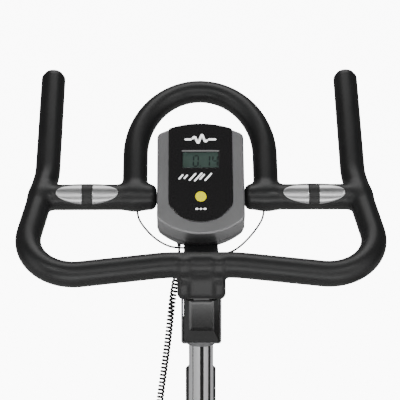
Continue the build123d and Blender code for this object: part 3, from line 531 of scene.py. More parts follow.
# ------------------------------------------------------------------ handlebar skin
@dataclass
class PaddedBars:
    """The moulded skin over the outer loop, arch, crossbars and bracket, as one smooth moulding."""

    radius: float = 0.0163
    voxel: float = 0.0021
    kink: tuple = (45.0, 0.0, 0.0)
    corner: tuple = (232.0, -23.4, -13.5)
    shoulder: tuple = (201.0, 133.0, 85.0)
    horn_tip: tuple = (200.0, 256.0, 197.0)
    radii: tuple = (180.0, 60.0, 90.0)
    cross_y: float = 101.0
    cross_z: float = 62.5
    arch_x: float = 85.5
    arch_leg: float = 67.0
    arch_rise: float = 106.2
    arch_tilt: float = math.radians(42.0)
    stub_x: float = 57.0
    cross_radius: float = 0.0168
    arch_slim: float = 0.0013
    tip_over: float = 2.6
    end_round: float = 0.009

    def right(self, p: tuple) -> np.ndarray:
        """A place on the right, given in millimetres from the lower bar's centre."""
        return BAR + np.array(p) * MM

    def left(self, p: tuple) -> np.ndarray:
        """The same place on the left."""
        return self.right((-p[0], p[1], p[2]))

    def loop_path(self, over: float) -> np.ndarray:
        """The outer loop's centreline from horn to horn, running on past both tips."""
        way = self.right(self.horn_tip) - self.right(self.shoulder)
        way *= over / np.linalg.norm(way)
        half = [self.kink, self.corner, self.shoulder]
        points = [self.left(self.horn_tip) + way * [-1, 1, 1]] + [self.left(p) for p in reversed(half)]
        points += [self.right(p) for p in half] + [self.right(self.horn_tip) + way]
        radii = [r * MM for r in (*reversed(self.radii), *self.radii)]
        return rounded_path(np.array(points), radii, 0.003)

    def arch_path(self) -> np.ndarray:
        """The arch's centreline: two straight legs and half an ellipse, on a plane leaning forwards."""
        t = np.linspace(0, math.pi, 110)
        x = np.concatenate([[self.arch_x], self.arch_x * np.cos(t), [-self.arch_x]])
        w = np.concatenate([[0.0], self.arch_leg + self.arch_rise * np.sin(t), [0.0]])
        y = self.cross_y + w * math.cos(self.arch_tilt)
        z = self.cross_z + w * math.sin(self.arch_tilt)
        return BAR + np.stack([x, y, z], 1) * MM

    def cross_path(self, side: int) -> np.ndarray:
        """A crossbar's centreline, from inside its stub's end to inside the side tube."""
        ends = [(side * (self.stub_x - 20), self.cross_y, self.cross_z), (side * 205.0, self.cross_y, self.cross_z)]
        return np.array([BAR + np.array(p) * MM for p in ends])

    def field(self, points: np.ndarray) -> np.ndarray:
        """The whole moulding's distance field and direction."""
        loop = Tube(self.loop_path(0.03), self.radius).field(points)
        tip = self.right(self.horn_tip)
        way = tip - self.right(self.shoulder)
        way /= np.linalg.norm(way)
        for side in (-1, 1):
            flip = np.array([side, 1, 1])
            loop = blend_cut(loop, Flat((tip + way * self.tip_over * MM) * flip, way * flip).field(points), self.end_round)
        shape = loop
        for side in (-1, 1):
            bar = Tube(self.cross_path(side), self.cross_radius).field(points)
            end = BAR + np.array([side * self.stub_x, self.cross_y, self.cross_z]) * MM
            bar = blend_cut(bar, Flat(end, np.array([-side, 0.0, 0.0])).field(points), 0.010)
            shape = blend_union(shape, bar, 0.009)
        shape = blend_union(shape, Tube(self.arch_path(), self.radius, self.arch_slim).field(points), 0.010)
        return blend_union(shape, self.bracket_field(points), 0.006)

    def bracket_field(self, points: np.ndarray) -> Field:
        """The padded bracket: a block under the lower bar with two upright cheeks, creased below the bar."""
        low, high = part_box("skin_bracket")
        half = np.array([0.0292, 0.0158, 0.0165])
        centre = np.array([0.0, BAR[1], low[2] + half[2]])
        shape = RoundBlock(centre, half, 0.0065).field(points)
        for side in (-1, 1):
            upper = RoundBlock(BAR + np.array([side * 0.0215, -0.0080, 0.0005]), np.array([0.0078, 0.0108, 0.0110]), 0.0074)
            lower = RoundBlock(centre + np.array([side * 0.0222, -0.0075, -0.0035]), np.array([0.0074, 0.0108, 0.0120]), 0.0070)
            shape = blend_union(shape, upper.field(points), 0.004)
            shape = blend_union(shape, lower.field(points), 0.004)
        hollow = RoundBlock(centre + np.array([0.0, -0.0215, -0.006]), np.array([0.0140, 0.0075, 0.0220]), 0.004).field(points)
        return blend_cut(shape, (-hollow[0], -hollow[1]), 0.005)

    def rough(self) -> bpy.types.Object:
        """The tubes and the bracket as closed meshes in one object, before they are merged."""
        tubes = [Tube(self.loop_path(0.005), self.radius), Tube(self.arch_path(), self.radius)]
        for side in (-1, 1):
            inward = np.array([[side * 0.020, 0, 0], [0, 0, 0]])
            tubes.append(Tube(self.cross_path(side)[[0, 1]] + inward, self.radius))
        pieces = [ring_solid(f"rough_{i}", tube.rings(40), SKIN) for i, tube in enumerate(tubes)]
        low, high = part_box("skin_bracket")
        corner = np.array([[x, y, z] for z in (low[2], high[2]) for x, y in
                           ((low[0], low[1]), (high[0], low[1]), (high[0], high[1]), (low[0], high[1]))])
        pieces.append(ring_solid("rough_block", corner.reshape(2, 4, 3), SKIN))
        base = pieces[0]
        with bpy.context.temp_override(active_object=base, object=base, selected_objects=pieces,
                                       selected_editable_objects=pieces):
            bpy.ops.object.join()
        return base

    def build(self) -> None:
        """Merges the rough tubes by voxels and settles every point on the moulding's own surface."""
        base = self.rough()
        remesh = base.modifiers.new("merge", "REMESH")
        remesh.mode = "VOXEL"
        remesh.voxel_size = self.voxel * 1.0
        merged = bpy.data.meshes.new_from_object(base.evaluated_get(bpy.context.evaluated_depsgraph_get()))
        bpy.data.objects.remove(base)
        points = np.empty(len(merged.vertices) * 3, np.float32)
        merged.vertices.foreach_get("co", points)
        points = points.reshape(-1, 3).astype(float)
        for _ in range(4):
            dist, way = self.field(points)
            size2 = np.maximum((way**2).sum(1), 0.2)
            points -= way * np.clip(dist / size2, -0.004, 0.004)[:, None]
        merged.vertices.foreach_set("co", points.astype(np.float32).ravel())
        merged.polygons.foreach_set("use_smooth", np.full(len(merged.polygons), True))
        merged.materials.clear()
        merged.materials.append(SKIN.build())
        merged.update()
        merged.name = "padded_skin"
        skin = bpy.data.objects.new("padded_skin", merged)
        bpy.context.scene.collection.objects.link(skin)
        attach(skin, Body.HANDLEBAR.value)
        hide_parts("skin_lower_bar", "skin_side_left", "skin_side_right", "skin_arch",
                    "skin_crossbar_left", "skin_crossbar_right", "skin_bracket")
        dress(BARE_STEEL, "bar_main_tube", "bar_arch_tube", "crossbar_tube_left", "crossbar_tube_right")
        dress(BLACK_PAINT, "bracket_core")
        log.info("padded skin: %d points", len(points))


# ------------------------------------------------------------------ hand pulse sensors
@dataclass
class PulseSensors:
    """Two pairs of brushed plates in oval housings on the crossbars, with a rib between each pair."""

    centre_x: float = 147.0
    bar_radius: float = 16.3
    housing: float = 1.2
    plate: float = 0.9
    half_length: float = 40.5
    rib: float = 12.0
    wrap: float = math.radians(54.0)
    tilt: float = math.radians(34.0)

    def plate_points(self, side: int, near: float, far: float) -> np.ndarray:
        """One plate's top surface.

        Along X the plate runs between two distances from the centre. Across, its half angle is the wrap's
        sine times the ellipse's half width there. It rises from the housing in a rounded edge: one less the
        sixth power of the place across, and the same along.

        Args:
            side: -1 for the left crossbar, 1 for the right.
            near: one end from the oval's centre, in millimetres.
            far: the other end.

        Returns:
            Rows by columns by 3 points.
        """
        along = np.linspace(0, 1, 60)[:, None]
        across = np.linspace(-1, 1, 41)[None]
        x = near + (far - near) * along
        oval = np.sqrt(np.clip(1 - (x / self.half_length) ** 2, 0.0, 1))
        half = np.arcsin(np.clip(math.sin(self.wrap) * oval, 0, 1))
        angle = half * across
        end = np.clip(1 - np.abs(2 * along - 1) ** 24, 0, 1) ** 0.5
        rise = np.clip(1 - np.abs(across) ** 10, 0, 1) ** 0.5 * end
        radius = self.bar_radius + self.housing - 0.3 + (self.plate + 0.3) * rise
        ahead = radius * np.cos(angle)
        up = radius * np.sin(angle)
        y = cross_bar_y() - ahead * math.cos(self.tilt) + up * math.sin(self.tilt)
        z = cross_bar_z() + ahead * math.sin(self.tilt) + up * math.cos(self.tilt)
        xx = np.broadcast_to(side * self.centre_x + x, y.shape)
        return BAR + np.stack([xx, y, z], -1) * MM

    def build(self) -> None:
        """Makes the plates, and dresses the housings."""
        for side, word in ((-1, "left"), (1, "right")):
            sheets, faces, base = [], [], 0
            for near, far in ((-self.half_length + 0.05, -self.rib / 2 - 0.2), (self.rib / 2 + 0.2, self.half_length - 0.05)):
                grid = self.plate_points(side, near, far)
                rows, cols, _ = grid.shape
                r, c = np.meshgrid(np.arange(rows - 1), np.arange(cols - 1), indexing="ij")
                quads = np.stack([r * cols + c, (r + 1) * cols + c, (r + 1) * cols + c + 1, r * cols + c + 1], -1).reshape(-1, 4)
                sheets.append(grid.reshape(-1, 3))
                faces.append(quads + base)
                base += rows * cols
            plates = mesh_piece(f"sensor_plates_{word}", np.concatenate(sheets), np.concatenate(faces), STEEL)
            wall = plates.modifiers.new("wall", "SOLIDIFY")
            wall.thickness = 0.0006
            wall.offset = -1
            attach(plates, Body.HANDLEBAR.value)
            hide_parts(f"pulse_plates_{word}")
            dress(HOUSING, f"pulse_housing_{word}")
        log.info("sensor plates")


def cross_bar_y() -> float:
    """The crossbars' axis, forwards of the lower bar, in millimetres."""
    return PaddedBars.cross_y


def cross_bar_z() -> float:
    """The crossbars' axis, above the lower bar, in millimetres."""
    return PaddedBars.cross_z


# ------------------------------------------------------------------ console
def round_max(values: list[np.ndarray], width: float) -> np.ndarray:
    """The largest of several distances, with the corners where two are nearly equal rounded over a width."""
    result = values[0]
    for value in values[1:]:
        h = np.clip(0.5 - 0.5 * (value - result) / width, 0, 1)
        result = value * (1 - h) + result * h + width * h * (1 - h)
    return result


@dataclass
class Outline:
    """An upright outline with straight sides and a round top and bottom, in millimetres on the face."""

    half_width: float
    bottom: float
    bottom_radius: float
    top: float
    top_radius: float
    corner: float

    def inside(self, x: np.ndarray, y: np.ndarray) -> np.ndarray:
        """Distance outside the outline: the largest of those from the sides, the bottom arc and the top arc."""
        low = np.where(
            y < self.bottom + self.bottom_radius,
            np.hypot(x, y - (self.bottom + self.bottom_radius)) - self.bottom_radius,
            np.abs(x) - self.bottom_radius,
        )
        high = np.where(
            y > self.top - self.top_radius,
            np.hypot(x, y - (self.top - self.top_radius)) - self.top_radius,
            np.abs(x) - self.top_radius,
        )
        return round_max([np.abs(x) - self.half_width, low, high], self.corner)

    def ring(self, inset: float, count: int, centre: float) -> np.ndarray:
        """Points where rays from a centre on the face cross the outline, drawn in by an inset.

        Args:
            inset: how far inside the outline, in millimetres.
            count: number of rays.
            centre: height on the face where the rays start.

        Returns:
            Count by 2 points, found by halving an interval forty times.
        """
        angle = np.linspace(0, 2 * math.pi, count, endpoint=False)
        near, far = np.zeros(count), np.full(count, 160.0)
        for _ in range(40):
            mid = (near + far) / 2
            out = self.inside(mid * np.cos(angle), centre + mid * np.sin(angle)) > -inset
            far = np.where(out, mid, far)
            near = np.where(out, near, mid)
        return np.stack([near * np.cos(angle), centre + near * np.sin(angle)], 1)


@dataclass
class Console:
    """The sloping console: silver case, gloss panel, display, printed marks and button."""

    case: Outline = field(default_factory=lambda: Outline(56.5, 0.0, 85.0, 159.6, 118.0, 5.0))
    depth: float = 38.0
    bezel_depth: float = 28.0
    taper: float = 8.0
    window_y: float = 107.0
    window_half: tuple[float, float] = (24.6, 12.9)
    button_y: float = 52.5
    button_radius: float = 7.2
    panel_raise: float = 1.3
    keel: float = 6.5
    panel: Outline = field(default_factory=lambda: Outline(41.6, 16.3, 46.1, 160.2, 118.0, 2.5))

    def rings(self, steps: list[tuple[float, float]], count: int = 240) -> np.ndarray:
        """Rings of the case's outline, each at an inset and a height off the face."""
        rows = []
        for inset, height in steps:
            flat = self.case.ring(inset, count, 80.0)
            rows.append(on_face(np.concatenate([flat, np.full((count, 1), height)], 1)))
        return np.array(rows)

    def round_edge(self, inset: float, height: float, radius: float, steps: int = 7) -> list[tuple[float, float]]:
        """A quarter round from the face over the rim: inset less radius times sine, height less radius times 1 - cosine."""
        angles = np.linspace(0, math.pi / 2, steps)
        return [(inset + radius * (1 - math.sin(a)), height - radius * (1 - math.cos(a))) for a in angles]

    def build_bezel(self) -> None:
        """The silver surround: a rounded rim, deep sides, and a shadow gap before the rear shell."""
        steps = [(30.0, -2.0), (30.0, -0.02)] + self.round_edge(0.0, 0.0, 3.0)
        steps += [(0.0, -self.bezel_depth + 0.6), (0.5, -self.bezel_depth), (2.4, -self.bezel_depth)]
        steps += [(2.4, -6.0), (30.0, -6.0)]
        ring = self.rings(steps)
        quads = ring_quads(len(ring), ring.shape[1])
        wrap = ring_quads(2, ring.shape[1])
        wrap = np.where(wrap < ring.shape[1], wrap + (len(ring) - 1) * ring.shape[1], wrap - ring.shape[1])
        bezel = mesh_piece("case_surround", ring.reshape(-1, 3), np.concatenate([quads, wrap]), SILVER)
        shade_by_angle(bezel)
        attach(bezel, Body.HANDLEBAR.value)
        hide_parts("console_bezel")

    def build_panel(self) -> None:
        """The gloss panel: a raised sheet with a small round edge that runs out over the case's top."""
        edge = self.round_edge(0.0, self.panel_raise, 0.8, 5)[::-1]
        steps = [(30.0, -0.4), (0.0, -0.4)] + edge + [(30.0, self.panel_raise)]
        count = 240
        angle = np.linspace(0, 2 * math.pi, count, endpoint=False)
        half_w, half_h = (half + 0.5 for half in self.window_half)
        reach = 1 / np.maximum(np.abs(np.cos(angle)) / half_w, np.abs(np.sin(angle)) / half_h)
        hole = np.stack([reach * np.cos(angle), self.window_y + reach * np.sin(angle)], 1)
        inner = [self.panel.ring(inset, count, self.window_y) for inset, height in steps[1:-1]]
        rows = [
            np.concatenate([flat, np.full((count, 1), height)], 1)
            for flat, (inset, height) in zip([hole, *inner, hole], steps)
        ]
        ring = on_face(np.array(rows))
        wrap = ring_quads(2, count)
        wrap = np.where(wrap < count, wrap + (len(ring) - 1) * count, wrap - count)
        quads = np.concatenate([ring_quads(len(ring), count), wrap])
        panel = mesh_piece("gloss_panel", ring.reshape(-1, 3), quads, PANEL)
        shade_by_angle(panel, 30)
        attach(panel, Body.HANDLEBAR.value)
        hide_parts("console_panel")

    def build_fairing(self) -> None:
        """The rear shell's lower lip: it keeps the case's outline, and deepens towards the bottom round the neck.

        Its depth grows by the keel times the share of the way down from the lip's top, to the power 1.3.
        """
        lip = Outline(56.0, 0.5, 85.0, 34.0, 400.0, 4.0)
        count, rows = 240, []
        steps = [(0.3, -self.bezel_depth - 0.3), (0.0, -31.0), (0.3, -36.0), (1.6, -37.6), (4.5, -38.4), (12.0, -38.8)]
        for inset, height in steps:
            flat = lip.ring(inset, count, 18.0)
            down = np.clip((34.0 - flat[:, 1]) / 34.0, 0, 1) ** 1.3
            deep = height - self.keel * down * np.clip((-height - 29.0) / 7.0, 0, 1)
            rows.append(on_face(np.concatenate([flat, deep[:, None]], 1)))
        fairing = ring_solid("shell_fairing", np.array(rows), SILVER_DARK)
        shade_by_angle(fairing, 50)
        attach(fairing, Body.HANDLEBAR.value)

    def build_display(self) -> None:
        """The display: a bevelled recess, the grey-green cell, its dark segments and a clear window."""
        half_w, half_h = self.window_half
        count = 96
        angle = np.linspace(0, 2 * math.pi, count, endpoint=False)

        def frame_ring(grow: float, height: float) -> np.ndarray:
            """A rounded rectangle round the window: the largest of both shares of the way out along each ray."""
            reach = 1 / np.maximum(np.abs(np.cos(angle)) / (half_w + grow), np.abs(np.sin(angle)) / (half_h + grow))
            flat = np.stack([reach * np.cos(angle), self.window_y + reach * np.sin(angle), np.full(count, height)], 1)
            return on_face(flat)

        top = self.panel_raise
        rings = np.array([frame_ring(1.1, top - 0.3), frame_ring(1.0, top + 0.12), frame_ring(0.3, top + 0.12),
                          frame_ring(-1.3, top - 1.5), frame_ring(-1.3, -2.9), frame_ring(0.4, -2.9)])
        quads = ring_quads(len(rings), count)
        wrap = ring_quads(2, count)
        wrap = np.where(wrap < count, wrap + (len(rings) - 1) * count, wrap - count)
        lip = mesh_piece("window_frame", rings.reshape(-1, 3), np.concatenate([quads, wrap]), PANEL)
        shade_by_angle(lip)
        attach(lip, Body.HANDLEBAR.value)
        cell_rings = np.array([frame_ring(0.2, -4.5), frame_ring(0.2, -2.45)])
        cell = ring_solid("display_cell", cell_rings, LCD_CELL)
        shade_by_angle(cell)
        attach(cell, Body.HANDLEBAR.value)
        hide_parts("lcd_module")
        self.build_digits()
        pane = ring_solid("clear_pane", np.array([frame_ring(-1.32, -0.9), frame_ring(-1.32, -0.1)]), CLEAR)
        shade_by_angle(pane)
        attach(pane, Body.HANDLEBAR.value)
        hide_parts("lcd_window")

    def stroke(self, ends: np.ndarray, width: float, height: float, thick: float) -> tuple[np.ndarray, np.ndarray]:
        """Flat six-sided bars between pairs of points on the face.

        Args:
            ends: m by 2 by 2 end points.
            width: each bar's width.
            height: where the bars' tops are, off the face.
            thick: the bars' thickness.

        Returns:
            Points and quads of closed bars.
        """
        a, b = ends[:, 0], ends[:, 1]
        way = (b - a) / np.linalg.norm(b - a, axis=1)[:, None]
        side = np.stack([-way[:, 1], way[:, 0]], 1) * width / 2
        point = way * width / 2
        flat = np.stack([a, a + point + side, b - point + side, b, b - point - side, a + point - side], 1)
        top = np.concatenate([flat, np.full(flat.shape[:2] + (1,), height)], 2)
        low = np.concatenate([flat, np.full(flat.shape[:2] + (1,), height - thick)], 2)
        verts = np.concatenate([low, top], 1)
        quad = [[i, (i + 1) % 6, (i + 1) % 6 + 6, i + 6] for i in range(6)]
        quad += [[6, 7, 8, 9], [6, 9, 10, 11], [3, 2, 1, 0], [5, 4, 3, 0]]
        faces = (np.array(quad)[None] + 12 * np.arange(len(ends))[:, None, None]).reshape(-1, 4)
        return on_face(verts.reshape(-1, 3)), faces[:, ::-1]

    def build_digits(self) -> None:
        """The reading as seven-segment figures, leaning a little, with a decimal point."""
        lit = {"0": "abcdef", "1": "bc", "4": "bcfg"}
        bars = {"a": ((0, 2), (1, 2)), "b": ((1, 2), (1, 1)), "c": ((1, 1), (1, 0)), "d": ((0, 0), (1, 0)),
                "e": ((0, 0), (0, 1)), "f": ((0, 1), (0, 2)), "g": ((0, 1), (1, 1))}
        wide, tall = 6.0, 7.6
        ends = []
        for left, digit in ((-9.6, "0"), (5.2, "1"), (15.4, "4")):
            for bar in lit[digit]:
                (x0, y0), (x1, y1) = bars[bar]
                pair = np.array([[left + x0 * wide, y0 * tall], [left + x1 * wide, y1 * tall]], float)
                gap = (pair[1] - pair[0]) / np.linalg.norm(pair[1] - pair[0]) * 0.45
                ends.append(np.array([pair[0] + gap, pair[1] - gap]))
        ends.append(np.array([[-1.5, 0.3], [0.6, 0.3]]))
        ends = np.array(ends)
        ends[..., 0] += 0.06 * ends[..., 1]
        ends[..., 1] += self.window_y - 8.6
        verts, faces = self.stroke(ends, 1.75, -2.38, 0.05)
        digits = mesh_piece("display_figures", verts, faces, LCD_INK, smooth=False)
        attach(digits, Body.HANDLEBAR.value)

    def build_print(self) -> None:
        """White printed marks: a plain pulse line, six leaning bars, and a ring under the button."""
        top = self.panel_raise + 0.06
        zigzag = np.array([(-21, 0), (-11, 0), (-7.5, 5.0), (-3, -6.5), (2, 8.0), (6.5, -4.5), (9.5, 0), (21, 0)], float)
        zigzag[:, 1] += 136.0
        line = np.stack([zigzag[:-1], zigzag[1:]], 1)
        marks = [self.stroke(line, 3.0, top, 0.05)]
        lean = np.array([0.64, 0.77])
        lengths = np.array([9.5, 8.0, 14.5, 16.5, 11.0, 15.0])
        start = np.array([[-28.5 + 6.7 * i, 78.0 - (length - 8) * 0.42] for i, length in enumerate(lengths)])
        bars = np.stack([start, start + lean * lengths[:, None]], 1)
        marks.append(self.stroke(bars, 2.1, top, 0.05))
        dashes = ((-7.5, -2.8), (-1.9, 1.9), (2.8, 7.5))
        marks.append(self.stroke(np.array([[[a, 34.9], [b, 34.9]] for a, b in dashes]), 2.6, top, 0.05))
        verts, faces, base = [], [], 0
        for points, quads in marks:
            verts.append(points)
            faces.append(quads + base)
            base += len(points)
        # The marks' white carries a painted glow.
        printed = mesh_piece("panel_marks", np.concatenate(verts), np.concatenate(faces), PRINT_WHITE_PAINTED_GLOW, smooth=False)
        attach(printed, Body.HANDLEBAR.value)

    def build_button(self) -> None:
        """The round button: a crowned cap with a rounded rim, turned about its own axis."""
        count = 72
        profile = [(0.3, -2.2), (self.button_radius, -2.2), (self.button_radius, 1.7), (self.button_radius - 0.25, 2.2),
                   (self.button_radius - 0.9, 2.5), (self.button_radius * 0.6, 2.62), (0.3, 2.68)]
        angle = np.linspace(0, 2 * math.pi, count, endpoint=False)
        rings = np.array([on_face(np.stack([r * np.cos(angle), self.button_y + r * np.sin(angle), np.full(count, z)], 1))
                          for r, z in profile])
        # The cap's yellow carries a painted glow.
        cap = ring_solid("button_cap", rings, YELLOW_PAINTED_GLOW)
        shade_by_angle(cap, 40)
        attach(cap, Body.BUTTON.value)
        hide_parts("mode_button")

    def build(self) -> None:
        """Makes the case and what is on it, and dresses the parts inside."""
        self.build_bezel()
        self.build_panel()
        self.build_fairing()
        self.build_display()
        self.build_print()
        self.build_button()
        dress(SILVER_DARK, "battery_door", "console_rear_shell")
        dress(BOARD, "pcb")
        dress(MATT_BLACK, "button_switch", "battery_cradle", "jack_socket", "wire_grommets")
        dress(CELL_WRAP, "batteries")
        dress(ZINC, "console_screws", "neck_screws")
        dress(NECK, "console_neck")
        log.info("console")


# ------------------------------------------------------------------ slider, clamp and post
@dataclass
class SliderEnd:
    """The bevelled plug that closes the slider's rear end."""

    side_bevel: float = 7.0
    bottom_bevel: float = 18.0
    top_bevel: float = 1.5
    reach: float = 8.0

    def ring(self, low: np.ndarray, high: np.ndarray, y: float, corner: float, count: int = 96) -> np.ndarray:
        """A rounded rectangle across the slider: a squared-off oval of rays from its centre.

        Args:
            low: lower left corner as x and z.
            high: upper right corner as x and z.
            y: where along the slider it stands.
            corner: how round the corners are, as a share of the half sizes.
            count: number of points.

        Returns:
            Count by 3 points.
        """
        angle = np.linspace(0, 2 * math.pi, count, endpoint=False)
        half = (high - low) / 2 - corner
        x = np.clip(np.cos(angle) * 2.2, -1, 1) * half[0] + corner * np.cos(angle)
        z = np.clip(np.sin(angle) * 2.2, -1, 1) * half[1] + corner * np.sin(angle)
        mid = (low + high) / 2
        return np.stack([mid[0] + x, np.full(count, y), mid[1] + z], 1)

    def build(self) -> None:
        """Lofts the plug from the tube's outline to its smaller flat face, with softened edges."""
        low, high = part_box("slider_tube")
        outer = np.array([low[0], low[2]]), np.array([high[0], high[2]])
        inner = (outer[0] + np.array([self.side_bevel, self.bottom_bevel]) * MM,
                 outer[1] - np.array([self.side_bevel, self.top_bevel]) * MM)
        y_face, y_base = low[1] - self.reach * MM, low[1]
        soft = 0.0009
        rings = []
        for share, depth, corner in ((0.0, 0.0, 0.0022), (0.0, -0.0006, 0.0022)):
            rings.append(self.ring(outer[0], outer[1], y_base + depth, corner))
        for share in (0.06, 0.94):
            a = outer[0] * (1 - share) + inner[0] * share
            b = outer[1] * (1 - share) + inner[1] * share
            rings.append(self.ring(a, b, y_base * (1 - share) + y_face * share - 0.0001, 0.0022))
        rings.append(self.ring(inner[0] + soft, inner[1] - soft, y_face, 0.0016))
        rings.append(self.ring(inner[0] + 6 * soft, inner[1] - 6 * soft, y_face, 0.0016))
        plug = ring_solid("slider_end_plug", np.array(rings)[:, ::-1], PLUG_GLOSS)
        shade_by_angle(plug, 24)
        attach(plug, Body.HANDLEBAR.value)
        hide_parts("slider_rear_plug")
        log.info("slider plug")


@dataclass
class Frame:
    """The chrome post, silver sleeve and clamp, whose CAD shapes are kept."""

    def build(self) -> None:
        """Dresses every kept node."""
        dress(CHROME, "post_tube")
        dress(SILVER_PAINT, "slider_sleeve", "post_collar", "clamp_nut")
        dress(MATT_BLACK, "sleeve_liner")
        dress(BLACK_PAINT, "slider_tube")
        dress(PLUG_GLOSS, "slider_front_plug")
        dress(BRASS, "clamp_pad")
        dress(ZINC, "knob_stud")
        dress(KNOB_GRIP, "knob_grip", "knob_cap")
        log.info("post, sleeve and clamp")


# ------------------------------------------------------------------ cords
@dataclass
class Lead:
    """A thin fixed lead from a crossbar to the console's neck."""

    name: str
    node: str
    points: tuple
    diameter: float = 0.0026

    def build(self) -> None:
        """Makes the lead as a smooth curve through its route."""
        places = BAR + np.array(self.points) * MM
        lead = spline_object(self.name, places, 10, self.diameter)
        lead.data.materials.append(CORD.build())
        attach(lead, Body.HANDLEBAR.value)
        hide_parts(self.node)
        curve_length(lead)


CURVE_RADIUS = 0.001


def spline_object(name: str, points: np.ndarray, steps: int, diameter: float = 0.0) -> bpy.types.Object:
    """A smooth NURBS curve with given control points.

    Args:
        name: the object's name.
        points: control points, n by 3, in metres.
        steps: segments between neighbouring points.
        diameter: the round section's width, or none.

    Returns:
        The new object.
    """
    curve = bpy.data.curves.new(name, "CURVE")
    curve.dimensions = "3D"
    spline = curve.splines.new("NURBS")
    spline.points.add(len(points) - 1)
    places = np.concatenate([points, np.ones((len(points), 1))], 1).astype(np.float32)
    spline.points.foreach_set("co", places.ravel())
    spline.points.foreach_set("radius", np.full(len(points), CURVE_RADIUS, np.float32))
    spline.order_u = 3
    spline.use_endpoint_u = True
    spline.resolution_u = steps
    curve.bevel_depth = diameter / 2 / CURVE_RADIUS  # the points' small radius scales it back
    curve.bevel_resolution = 3
    curve.use_fill_caps = True
    obj = bpy.data.objects.new(name, curve)
    bpy.context.scene.collection.objects.link(obj)
    return obj


def curve_points(obj: bpy.types.Object) -> np.ndarray:
    """Points along a curve's own line, with its thickness left out."""
    curve = obj.data
    thick, curve.bevel_depth = curve.bevel_depth, 0.0
    bpy.context.view_layer.update()
    mesh = bpy.data.meshes.new_from_object(obj.evaluated_get(bpy.context.evaluated_depsgraph_get()))
    points = np.empty(len(mesh.vertices) * 3, np.float32)
    mesh.vertices.foreach_get("co", points)
    bpy.data.meshes.remove(mesh)
    curve.bevel_depth = thick
    return points.reshape(-1, 3).astype(float)


def curve_length(obj: bpy.types.Object) -> float:
    """The length of a curve's line, in metres."""
    return float(np.linalg.norm(np.diff(curve_points(obj), axis=0), axis=1).sum())


@dataclass
class SensorCord:
    """The sensor cord: a smooth lead from the console, a curly stretch, and a short tail to its plug."""

    wire: float = 0.0030
    outside: float = 0.0098
    pitch: float = 0.0050
    per_turn: int = 14
    coil_from: float = 0.046
    coil_to: float = 0.013
    route: tuple = (
        (-0.0280, 0.0350, 0.4360), (-0.0280, 0.0350, 0.4154), (-0.0313, 0.0145, 0.4060), (-0.0330, 0.0068, 0.3970),
        (-0.0375, -0.0130, 0.3740), (-0.0415, -0.0180, 0.3340), (-0.0470, -0.0160, 0.2920), (-0.0525, -0.0180, 0.2520),
        (-0.0560, -0.0165, 0.2200), (-0.0573, -0.0159, 0.2081),
    )

    def coil(self, line: np.ndarray) -> np.ndarray:
        """Winds the wire round the route's line.

        Between two distances along the line every pitch is one turn: the wire's centre stands off the line
        by the coil's radius times the cosine and sine of the turn. The radius grows from nothing over
        three quarters of a turn, and shrinks over the last. Elsewhere the wire follows the line itself.

        Args:
            line: closely spaced points of the route's line.

        Returns:
            The wire's points.
        """
        run = np.concatenate([[0], np.linalg.norm(np.diff(line, axis=0), axis=1).cumsum()])
        first, last = self.coil_from, run[-1] - self.coil_to
        turns = int((last - first) / self.pitch)
        share = np.linspace(0, 1, turns * self.per_turn + 1)
        lead, tail = np.linspace(0, first, 9)[:-1], np.linspace(last, run[-1], 4)[1:]
        along = np.concatenate([lead, first + share * (last - first), tail])
        place = np.stack([np.interp(along, run, line[:, axis]) for axis in range(3)], 1)
        tangent = np.gradient(place, axis=0)
        tangent /= np.linalg.norm(tangent, axis=1)[:, None]
        side = np.cross(tangent, [0.0, 1.0, 0.0])
        side /= np.linalg.norm(side, axis=1)[:, None]
        lift = np.cross(tangent, side)
        share = np.clip((along - first) / (last - first), 0, 1)
        ease = np.clip(np.minimum(share, 1 - share) * turns / 0.75, 0, 1)[:, None]
        angle = (share * turns * 2 * math.pi)[:, None]
        radius = (self.outside - self.wire) / 2
        return place + radius * ease * (np.cos(angle) * side + np.sin(angle) * lift)

    def build(self) -> None:
        axis = spline_object("cord_axis", np.array(self.route), 24)
        wire = self.coil(curve_points(axis))
        bpy.data.objects.remove(axis)
        cord = spline_object("sensor_cord", wire, 2, self.wire)
        cord.data.materials.append(CORD.build())
        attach(cord, Body.HANDLEBAR.value)
        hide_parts("sensor_cord_lead", "sensor_cord_coil", "sensor_cord_tail")
        dress(CORD, "sensor_cord_plug", "sensor_top_plug")
        curve_length(cord)
        log.info("sensor cord: %d points", len(wire))


LEADS = (
    Lead("pulse_lead_left", "pulse_wire_left", (
        (-82.5, 101, 46.2), (-82.5, 101, 36), (-74, 97, 23), (-61, 89, 11), (-46, 77, 4.5), (-33, 67, 3.5), (-22, 67, 3.5))),
    Lead("pulse_lead_right", "pulse_wire_right", (
        (82.5, 101, 46.2), (82.5, 101, 36), (74, 97, 22), (61, 89, 8), (46, 77, -2.0), (33, 67, -4.5), (22, 67, -4.5))),
)


